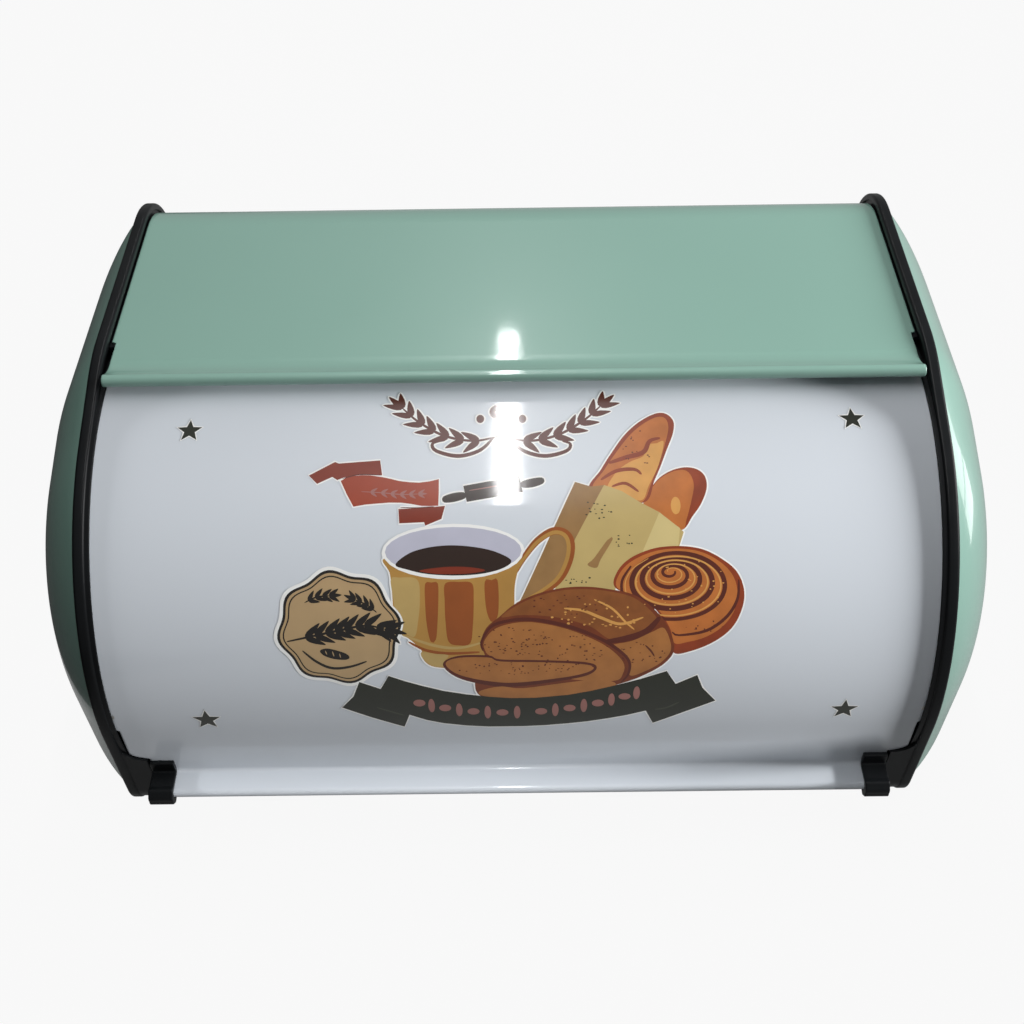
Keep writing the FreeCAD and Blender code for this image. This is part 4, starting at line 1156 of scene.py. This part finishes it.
def beadSection():
    # (x, inset) round the bead and the web behind it; a third value is the inset along the lid's track
    m = moulding
    inner, webIn = halfWidth - m["beadWidth"], halfWidth - m["webReach"]
    groove, r = m["grooveInset"], m["beadRound"]
    trackInset = shell["arcRadius"] - ledgeRadius
    section = [(webIn, m["ring"]), (webIn, m["beadDepth"], trackInset),
               (inner + 0.15, m["beadDepth"], trackInset),
               (inner, m["beadDepth"] - 0.15, trackInset - 0.12)]
    section += [(inner + r * (1 - math.cos(a)), r * (1 - math.sin(a))) for a in quarter(5)]
    section += [(halfWidth - r * (1 - math.sin(a)), r * (1 - math.cos(a))) for a in quarter(5)]
    section += [(halfWidth, m["beadDepth"] - 0.2), (halfWidth - 0.2, m["beadDepth"]),
                (webOut + m["grooveWidth"], m["beadDepth"]), (webOut + m["grooveWidth"], groove),
                (webOut, groove), (webOut, m["ring"])]
    return section


def makeSideFrame(name, side):
    m, s = moulding, shell
    webIn = halfWidth - m["webReach"]
    bm = bmesh.new()
    rings = []
    for x, *insets in beadSection():
        plain, tracked = outline(insets[0]), outline(insets[-1])
        ring = []
        for p, q in zip(plain, tracked):
            y, z = (q if p[4] == 0 else p)[:2]
            ring.append(bm.verts.new(toFrame(side * x, y, z)))
        rings.append(ring)
    stitch(bm, rings, closed=True)
    ledgeOut, railIn = ledgeRadius + m["ledge"], railRadius - m["rail"]
    thin, thicker = m["thinEdge"], m["thickEdge"]
    low, high = m["trackLow"], m["trackHigh"]
    stop = high + m["trackStop"]
    ledgeSpan, railSpan, shelfSpan = ((halfWidth - m[reach], webIn + m["sink"])
                                      for reach in ("ledgeReach", "railReach", "shelfReach"))
    for stations, span, thick, rim in (
            (arcStations(ledgeOut, low, high, 2), ledgeSpan, m["ledge"], thin),
            (arcStations(railRadius, low, high, 2), railSpan, m["rail"], thicker),
            (arcStations(ledgeOut, high, stop, 1), railSpan, ledgeOut - railIn, thicker),
            (arcStations(ledgeOut, low, stop, 2), (webIn, webOut), ledgeOut - railIn, thin)):
        addSheet(bm, stations, span, thick, rim=rim, columns=1, mirror=side)
    upperInset = s["sheetDrop"] + sheet + s["lapGap"]
    lowerInset = upperInset + sheet + s["lapGap"]
    upper = [p[:4] for p in outline(upperInset)
             if (p[1] > 0 and p[0] > s["topBlendY"] - 0.1) or (p[0] > 60 and s["seamHigh"] < p[1] <= 0)]
    lowerEnd = lidFrontEdge["flangeTop"] - sheet - 3 * sill["radius"]
    lower = [p[:4] for p in outline(lowerInset)
             if p[1] < s["seamHigh"] and (p[0] > 0 or p[1] < lowerEnd)]
    for stations in (upper, lower):
        addSheet(bm, stations, shelfSpan, m["shelf"], rim=thicker, columns=1, mirror=side)
    addGusset(bm, side)
    shelfBack, shelfBase = s["backReach"] - upperInset, -s["baseDrop"] + lowerInset
    x = side * screwSpot["x"]
    bosses = [((x, shelfBack, z), (0, -1, 0)) for z in screwSpot["backHeights"]]
    bosses += [((x, y, shelfBase), (0, 0, 1)) for y in screwSpot["basePlaces"]]
    for place, way in bosses:
        addRod(bm, place, way, m["bossRadius"], m["bossLength"], rim=m["bossRim"])
    return newPiece(name, bm, blackPlastic)


def addGusset(bm, side):
    # corner plate beside the lid's clip, with a hollow upper edge
    m = moulding
    webIn, inner = halfWidth - m["webReach"], halfWidth - m["gussetReach"]
    hollow = webIn - inner
    cornerY = -shell["arcRadius"] + shell["frontTuck"] + shell["frontBaseRadius"]
    curve = [p for p in outline(m["gussetSink"], 0.5)
             if p[1] < m["gussetTop"] - hollow and p[0] < cornerY + 1]
    y, z, ny, nz = curve[-1][:4]
    slope = -nz / ny
    stations, spans = [], []
    for a in quarter(16, 1):                 # from the tip beside the bead down the hollow edge
        spotZ = m["gussetTop"] - hollow * math.sin(a)
        stations.append((y + slope * (spotZ - z), spotZ, ny, nz))
        spans.append((inner + hollow * math.cos(a), webIn + m["sink"]))
    for p in reversed(curve):
        stations.append(p[:4])
        spans.append((inner, webIn + m["sink"]))
    addSheet(bm, stations, spans, m["gusset"], rim=0.1, columns=2, cornerSteps=2, mirror=side)


frames = bothSides(makeSideFrame, "sideFrame")
print("side frames moulded")

# clips on the lid's flange
clip = {
    "width": 9.3, "out": halfWidth - 13.5, "thick": 1.7, "tab": 7.5, "fit": 0.1, "corner": 0.5,
    "roll": 2.7, "tail": 4.0, "rim": 0.35, "ribs": 3, "ribDepth": 0.32,
}


def makeClip(name, side):
    c, f = clip, lidFrontEdge
    lean = -f["tangent"]
    leanSin, leanCos = math.sin(math.radians(lean)), math.cos(math.radians(lean))
    tangentY, tangentZ = onArc(lidSheet["radius"], f["tangent"])
    faceZ = f["flangeTop"] + f["bend"] * (1 + leanSin)
    faceY = tangentY + (tangentZ - faceZ) * leanSin / leanCos
    bendEnd = faceY - f["bend"] * leanCos
    rollY = bendEnd - f["flange"]
    topZ = f["flangeTop"] + c["tab"]
    startY = tangentY + (tangentZ - topZ) * leanSin / leanCos - c["fit"]
    bend = c["thick"] + c["corner"]
    down = (c["tab"] - c["fit"] - bend * (1 + leanSin)) / leanCos
    tab = walkPath((startY, topZ, 270 + lean), [("run", down), ("bend", bend, -(90 + lean))], runStep=1.0)
    cover = tab[-1][0] - rollY
    flatZ = tab[-1][1]
    flat = walkPath((tab[-1][0], flatZ, 180), [("run", cover)], runStep=1.5)[1:]
    rollRadius = f["roll"][0] + c["fit"]
    roll = walkPath((rollY, flatZ, 180), [("bend", rollRadius, 90), ("bend", rollRadius, 90)])[1:]
    tail = walkPath((rollY, roll[-1][1], 0), [("run", c["tail"])], runStep=1.5)[1:]
    inner = tab + flat + roll + tail
    thick = [c["thick"]] * (len(tab) + len(flat))
    for i in range(len(roll)):
        share = (i + 1) / len(roll)
        swell = min(1.0, share * 8, (1 - share) * 6)
        rib = 0.5 - 0.5 * math.cos(2 * math.pi * share * (c["ribs"] + 1))
        thick.append(c["thick"] + swell * (c["roll"] - c["thick"] - c["ribDepth"] * (1 - rib)))
    thick += [c["thick"]] * len(tail)
    outer = [(y + ny * t, z + nz * t, ny, nz) for (y, z, ny, nz), t in zip(inner, thick)]
    bm = bmesh.new()
    addSheet(bm, outer, (c["out"] - c["width"], c["out"]), thick, rim=c["rim"], columns=4, mirror=side)
    return newPiece(name, bm, blackPlastic, 50)


clips = bothSides(makeClip, "lidClip")


# glides under the lid's edges
def makeGlides(name, side):
    g = glidePad
    under = lidSheet["radius"] - sheet
    outer, middle = under - shell["lapGap"], under - g["thick"] / 2
    x = halfWidth - moulding["railReach"] + g["sideGap"]
    half = g["length"] / 2                   # degrees
    bm = bmesh.new()
    for angle in (lidSheet["wideEnd"] + half + g["end"], lidSheet["rear"] - half - g["end"]):
        addSheet(bm, arcStations(outer, angle - half, angle + half), (x, x + g["width"]),
                 outer - (under - g["thick"]), rim=0.35, columns=1, mirror=side)
        place = (side * (x + g["width"] / 2), *onArc(middle, angle))
        addRod(bm, place, (0, *onArc(1, angle)), g["stud"], lidSheet["radius"] - middle, 16)
    return newPiece(name, bm, nylon)


glides = bothSides(makeGlides, "glides")
print("clips and glides fitted")


# feet, screws and rivets
def spreadTree():
    # sets one fastener on each point, its +Z turned along the point's facing
    tree, given, result = newTree("fastenerSpread", [
        ("Fastener", "NodeSocketObject", None), ("Material", "NodeSocketMaterial", None)])
    turn = addNode(tree, "FunctionNodeAlignRotationToVector", {
        "Vector": storedValue(tree, "facing", "FLOAT_VECTOR")})
    turn.axis = "Z"
    info = addNode(tree, "GeometryNodeObjectInfo", {"Object": given.outputs["Fastener"]})
    spread = addNode(tree, "GeometryNodeInstanceOnPoints", {
        "Points": given.outputs["Geometry"], "Instance": info.outputs["Geometry"],
        "Rotation": turn.outputs["Rotation"]})
    endTree(tree, given, result, spread.outputs["Instances"])
    return tree


def spreadOut(name, tree, fastener, spots, material):
    mesh = bpy.data.meshes.new(name + "Spots")
    mesh.from_pydata([toFrame(*place) for place, way in spots], [], [])
    facing = mesh.attributes.new("facing", "FLOAT_VECTOR", "POINT")
    for i, (place, way) in enumerate(spots):
        facing.data[i].vector = way
    piece = runTree(linked(name + "Spots", mesh), tree, {"Fastener": fastener, "Material": material}, name)
    piece.data.set_sharp_from_angle(angle=math.radians(35))
    bpy.data.objects.remove(fastener)
    return piece


screw = {"headRadius": 2.8, "head": 1.5, "radius": 1.1, "length": 6.5, "slot": (0.75, 3.3, 0.95),
         "threads": 9, "threadStep": 0.62, "threadTop": 0.5}
rivet = {"headRadius": 3.0, "head": 1.1, "tailRadius": 2.4, "radius": 1.6, "pitch": 56.0, "count": 5}
foot = {"radius": 8.0, "drop": 3.0, "x": halfWidth - 37.0, "frontY": -52.0, "rearY": 89.0, "round": 1.0,
        "stem": 2.5, "stemHead": (3.6, 2.2)}


def makeScrew():
    s = screw
    profile = [(0, s["head"])]
    for a in quarter(6, 1):
        profile.append((s["headRadius"] * math.sin(a) ** 0.8, s["head"] * (0.35 + 0.65 * math.cos(a))))
    profile += [(s["headRadius"], 0.12), (s["headRadius"] - 0.12, 0.0), (s["radius"], 0.0)]
    for k in range(s["threads"]):            # turns of the thread, as rings
        h = -s["threadTop"] - k * s["threadStep"]
        profile += [(s["radius"] * 0.82, h), (s["radius"], h - s["threadStep"] / 2)]
    profile += [(0.3, -s["length"]), (0, -s["length"])]
    head = turned("screwBlank", profile, 28, zincSteel)
    narrow, wide, deep = (v * mm for v in s["slot"])
    bm = bmesh.new()
    for sizeX, sizeY in ((narrow, wide), (wide, narrow)):
        for v in bmesh.ops.create_cube(bm, size=1.0)["verts"]:
            taper = 1.0 if v.co.z > 0 else 0.55
            height = s["head"] * mm + v.co.z * 2 * deep
            v.co = Vector((v.co.x * sizeX * taper, v.co.y * sizeY * taper, height))
    cutter = newPiece("screwSlot", bm, zincSteel)
    cut = head.modifiers.new("slot", "BOOLEAN")
    cut.operation = "DIFFERENCE"
    cut.solver = "EXACT"
    cut.use_self = True
    cut.object = cutter
    done = applied(head, "screwShape")
    bpy.data.objects.remove(cutter)
    return done


def makeRivet():
    r = rivet
    deep = 2 * (sheet + shell["lapGap"])
    profile = [(0, r["head"])]
    for a in quarter(6, 1):
        profile.append((r["headRadius"] * math.sin(a), r["head"] * (0.3 + 0.7 * math.cos(a))))
    tail = -deep - r["head"]
    profile += [(r["headRadius"], 0), (r["radius"], 0), (r["radius"], -deep), (r["tailRadius"], -deep),
                (r["tailRadius"], -deep - 0.8), (r["tailRadius"] - 0.3, tail), (0.9, tail),
                (0.7, -deep - 0.4), (0, -deep - 0.4)]
    return turned("rivetShape", profile, 28, zincSteel)


def makeFoot():
    # +Z is down here: the stem points into the box
    f = foot
    tall = f["drop"] + shell["sheetDrop"] + sheet
    wide, r, (headWide, headLong) = f["radius"], f["round"], f["stemHead"]
    profile = [(0, tall - 0.7), (3.2, tall - 0.7), (3.8, tall - 0.1), (4.2, tall)]
    profile += [(wide - r * (1 - math.sin(a)), tall - r * (1 - math.cos(a))) for a in quarter(4)]
    profile += [(wide, tall * 0.55), (wide - 0.35, tall * 0.5), (wide, tall * 0.45), (wide, 0.3),
                (wide - 0.3, 0), (f["stem"], 0), (f["stem"], -sheet - 0.1), (headWide, -sheet - 0.1),
                (headWide, -sheet - 0.5), (f["stem"] * 0.7, -sheet - headLong), (0, -sheet - headLong)]
    return turned("footShape", profile, 40, rubber)


def makeFasteners():
    tree = spreadTree()
    backFace = shell["backReach"] - shell["sheetDrop"] + shell["lapGap"]
    baseFace = -shell["baseDrop"] + shell["sheetDrop"] + sheet
    sides = (-screwSpot["x"], screwSpot["x"])
    backSpots = [((x, backFace, z), (0, 1, 0)) for x in sides for z in screwSpot["backHeights"]]
    baseSpots = [((x, y, baseFace), (0, 0, -1)) for x in sides for y in screwSpot["basePlaces"]]
    seamZ = (shell["seamLow"] + shell["seamHigh"]) / 2
    rivetSpots = [((rivet["pitch"] * (i - (rivet["count"] - 1) / 2), backFace, seamZ), (0, 1, 0))
                  for i in range(rivet["count"])]
    footSpots = [((x, y, baseFace), (0, 0, -1)) for x in (-foot["x"], foot["x"])
                 for y in (foot["frontY"], foot["rearY"])]
    return {
        "back_screws": spreadOut("backScrews", tree, makeScrew(), backSpots, zincSteel),
        "base_screws": spreadOut("baseScrews", tree, makeScrew(), baseSpots, zincSteel),
        "seam_rivets": spreadOut("seamRivets", tree, makeRivet(), rivetSpots, zincSteel),
        "feet": spreadOut("feet", tree, makeFoot(), footSpots, rubber),
    }


fasteners = makeFasteners()
print("fasteners set")


# what each piece rides on and stands for
def fit(piece, body, slot, *nodes):
    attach(piece, body)
    if nodes:
        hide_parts(*nodes)


fit(backSheet, "body", "mint_enamel", "back_sheet")
fit(basePan, "body", "mint_enamel", "base_pan")
fit(lidPiece, "roll_lid", "white_enamel", "lid")
fit(lidPrint, "roll_lid", "white_enamel")
for side, word in ((-1, "left"), (1, "right")):
    fit(panels[side], "body", "mint_enamel", "end_panel_" + word)
    fit(frames[side], "body", "black_plastic", "side_frame_" + word)
    fit(clips[side], "roll_lid", "black_plastic", "lid_clip_" + word)
    fit(glides[side], "roll_lid", "glide_plastic", "glide_front_" + word, "glide_rear_" + word)
for node in ("back_screws", "base_screws", "seam_rivets"):
    fit(fasteners[node], "body", "zinc_steel", node)
fit(fasteners["feet"], "body", "foot_rubber", "foot_front_left", "foot_front_right",
    "foot_rear_left", "foot_rear_right")

# floor, light and camera
studio = {
    "floorSize": 6.0,
    "floorGlow": 0.93,      # share of plain white that the camera sees in the floor
    "mirrorShare": 0.22,    # how much of the white the gloss shows
    "worldLight": 0.06,
    "worldColour": (0.94, 0.97, 1.0),
    "floorGrey": 0.42,
    "mirrored": ("strip", "window"),        # lamps whose shape shows in the gloss
}
lamps = {
    "strip": {"size": (0.028, 1.9), "place": (-0.012, 0.40, 1.25), "aim": (-0.012, 0.40, 0), "watts": 8.0},
    "window": {"size": (0.9, 0.7), "place": (1.05, -0.10, 0.62), "aim": (0.1, 0, 0.08), "watts": 16.5},
    "graze": {"size": (0.3, 0.035), "place": (1.3, -0.16, 0.22), "aim": (0, -0.06, 0.1), "watts": 104.0},
    "sweep": {"size": (0.3, 0.035), "place": (-1.3, -0.16, 0.27), "aim": (0, -0.06, 0.1), "watts": 12.0},
}
cards = {                   # dark boards that the gloss reflects, and one that shades the lid's flange
    "flag": {"shades": True, "corners": (
        (0.4, -0.154, 0.065), (0.4, -0.119, 0.065), (0.4, -0.119, 0.089), (0.4, -0.154, 0.089))},
    "cardLeft": {"grey": 0.12, "corners": (
        (-0.75, -0.9, 0.0), (-0.75, 0.9, 0.0), (-0.75, 0.9, 1.0), (-0.75, -0.9, 1.0))},
    "cardLow": {"grey": 0.12, "corners": (
        (-0.75, -0.9, 0.002), (-0.22, -0.9, 0.002), (-0.22, 0.9, 0.002), (-0.75, 0.9, 0.002))},
}
panes = {                   # a bright window that only the gloss shows, on the right
    "paneHigh": {"glow": 3.6, "corners": (
        (0.35, -0.010, 0.108), (0.35, 0.068, 0.108), (0.35, 0.080, 0.190), (0.35, 0.000, 0.190))},
    "paneLow": {"glow": 3.6, "corners": (
        (0.35, -0.016, 0.056), (0.35, 0.042, 0.056), (0.35, 0.066, 0.102), (0.35, -0.012, 0.102))},
}


def makeLamp(name, values):
    light = bpy.data.lights.new(name, "AREA")
    light.shape = "RECTANGLE"
    light.size, light.size_y = values["size"]
    light.energy = values["watts"]
    lamp = linked(name, light)
    place, aim = Vector(values["place"]), Vector(values["aim"])
    lamp.location = place
    lamp.rotation_euler = (aim - place).to_track_quat("-Z", "Y").to_euler()
    lamp.visible_glossy = name in studio["mirrored"]
    return lamp


def seenRays(tree):
    # 1 for rays from the camera or through glass, and a share of it for a reflection
    path = tree.nodes.new("ShaderNodeLightPath")
    mirrored = mathNode(tree, "MULTIPLY", path.outputs["Is Glossy Ray"], studio["mirrorShare"])
    first = mathNode(tree, "MAXIMUM", path.outputs["Is Camera Ray"], mirrored)
    return mathNode(tree, "MAXIMUM", first, path.outputs["Is Transmission Ray"])


def makeWorld():
    world = bpy.data.worlds.new("studio")
    scene.world = world
    world.use_nodes = True
    tree = world.node_tree
    tree.nodes.clear()
    light = addNode(tree, "ShaderNodeBackground", {
        "Color": (*studio["worldColour"], 1), "Strength": studio["worldLight"]})
    white = addNode(tree, "ShaderNodeBackground", {"Color": (1, 1, 1, 1), "Strength": 1.0})
    mix = addNode(tree, "ShaderNodeMixShader", {
        "Fac": seenRays(tree), 1: light.outputs[0], 2: white.outputs[0]})
    addNode(tree, "ShaderNodeOutputWorld", {"Surface": mix.outputs[0]})


def stagePiece(name, bm, material):
    mesh = bpy.data.meshes.new(name)
    bm.to_mesh(mesh)
    bm.free()
    mesh.materials.append(material)
    piece = linked(name, mesh)
    piece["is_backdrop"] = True
    return piece


def makeFloor():
    bm = bmesh.new()
    bmesh.ops.create_grid(bm, x_segments=1, y_segments=1, size=studio["floorSize"] / 2)
    grey = studio["floorGrey"]
    material, tree, shader = newMaterial("floor", {"Base Color": (grey, grey, grey, 1), "Roughness": 0.9})
    glow = addNode(tree, "ShaderNodeEmission", {"Strength": 1.0})
    share = mathNode(tree, "MULTIPLY", seenRays(tree), studio["floorGlow"])
    mix = addNode(tree, "ShaderNodeMixShader", {"Fac": share, 1: shader.outputs[0], 2: glow.outputs[0]})
    joinUp(tree, mix.outputs[0], tree.nodes["Material Output"].inputs["Surface"])
    stagePiece("floor", bm, material)


def makeCard(name, values):
    bm = bmesh.new()
    bm.faces.new([bm.verts.new(corner) for corner in values["corners"]])
    grey = values.get("grey", 0.0)
    material, tree, shader = newMaterial(name, {"Base Color": (grey, grey, grey, 1), "Roughness": 0.9})
    if "glow" in values:
        path = tree.nodes.new("ShaderNodeLightPath")
        strength = mathNode(tree, "MULTIPLY", path.outputs["Is Glossy Ray"], values["glow"])
        shader.inputs["Emission Color"].default_value = (1, 1, 1, 1)
        joinUp(tree, strength, shader.inputs["Emission Strength"])
    card = stagePiece(name, bm, material)
    shades = "shades" in values
    card.visible_camera = False
    card.visible_shadow = shades
    card.visible_glossy = not shades
    card.visible_diffuse = "grey" in values


def lightOnly(lamp, pieces):
    # the lamp lights only these pieces; the others still cast their shadow on them
    lit = bpy.data.collections.new(lamp.name + "Lit")
    for piece in pieces:
        lit.objects.link(piece)
    lamp.light_linking.receiver_collection = lit


view = {"lens": 47.46, "place": (1.5, -377.39, 417.41), "tilt": 43.394, "pan": 0.298, "roll": -0.716}


def makeCamera():
    camera = linked("camera", bpy.data.cameras.new("camera"))
    camera.data.lens = view["lens"]
    camera.data.sensor_width = 36.0
    turn = Matrix.Identity(4)
    for angle, way in ((view["tilt"], "X"), (view["pan"], "Y"), (view["roll"], "Z")):
        turn = turn @ Matrix.Rotation(math.radians(angle), 4, way)
    camera.matrix_world = Matrix.Translation(toFrame(*view["place"])) @ turn
    scene.camera = camera


makeWorld()
makeFloor()
lidParts = [lidPiece, lidPrint]
hung = {lampName: makeLamp(lampName, lampValues) for lampName, lampValues in lamps.items()}
lightOnly(hung["graze"], lidParts)
lightOnly(hung["sweep"], lidParts)
lightOnly(hung["window"], [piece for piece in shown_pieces() if piece not in lidParts])
for cardName, cardValues in (cards | panes).items():
    makeCard(cardName, cardValues)
makeCamera()
scene.view_settings.view_transform = "Standard"
print("studio set")
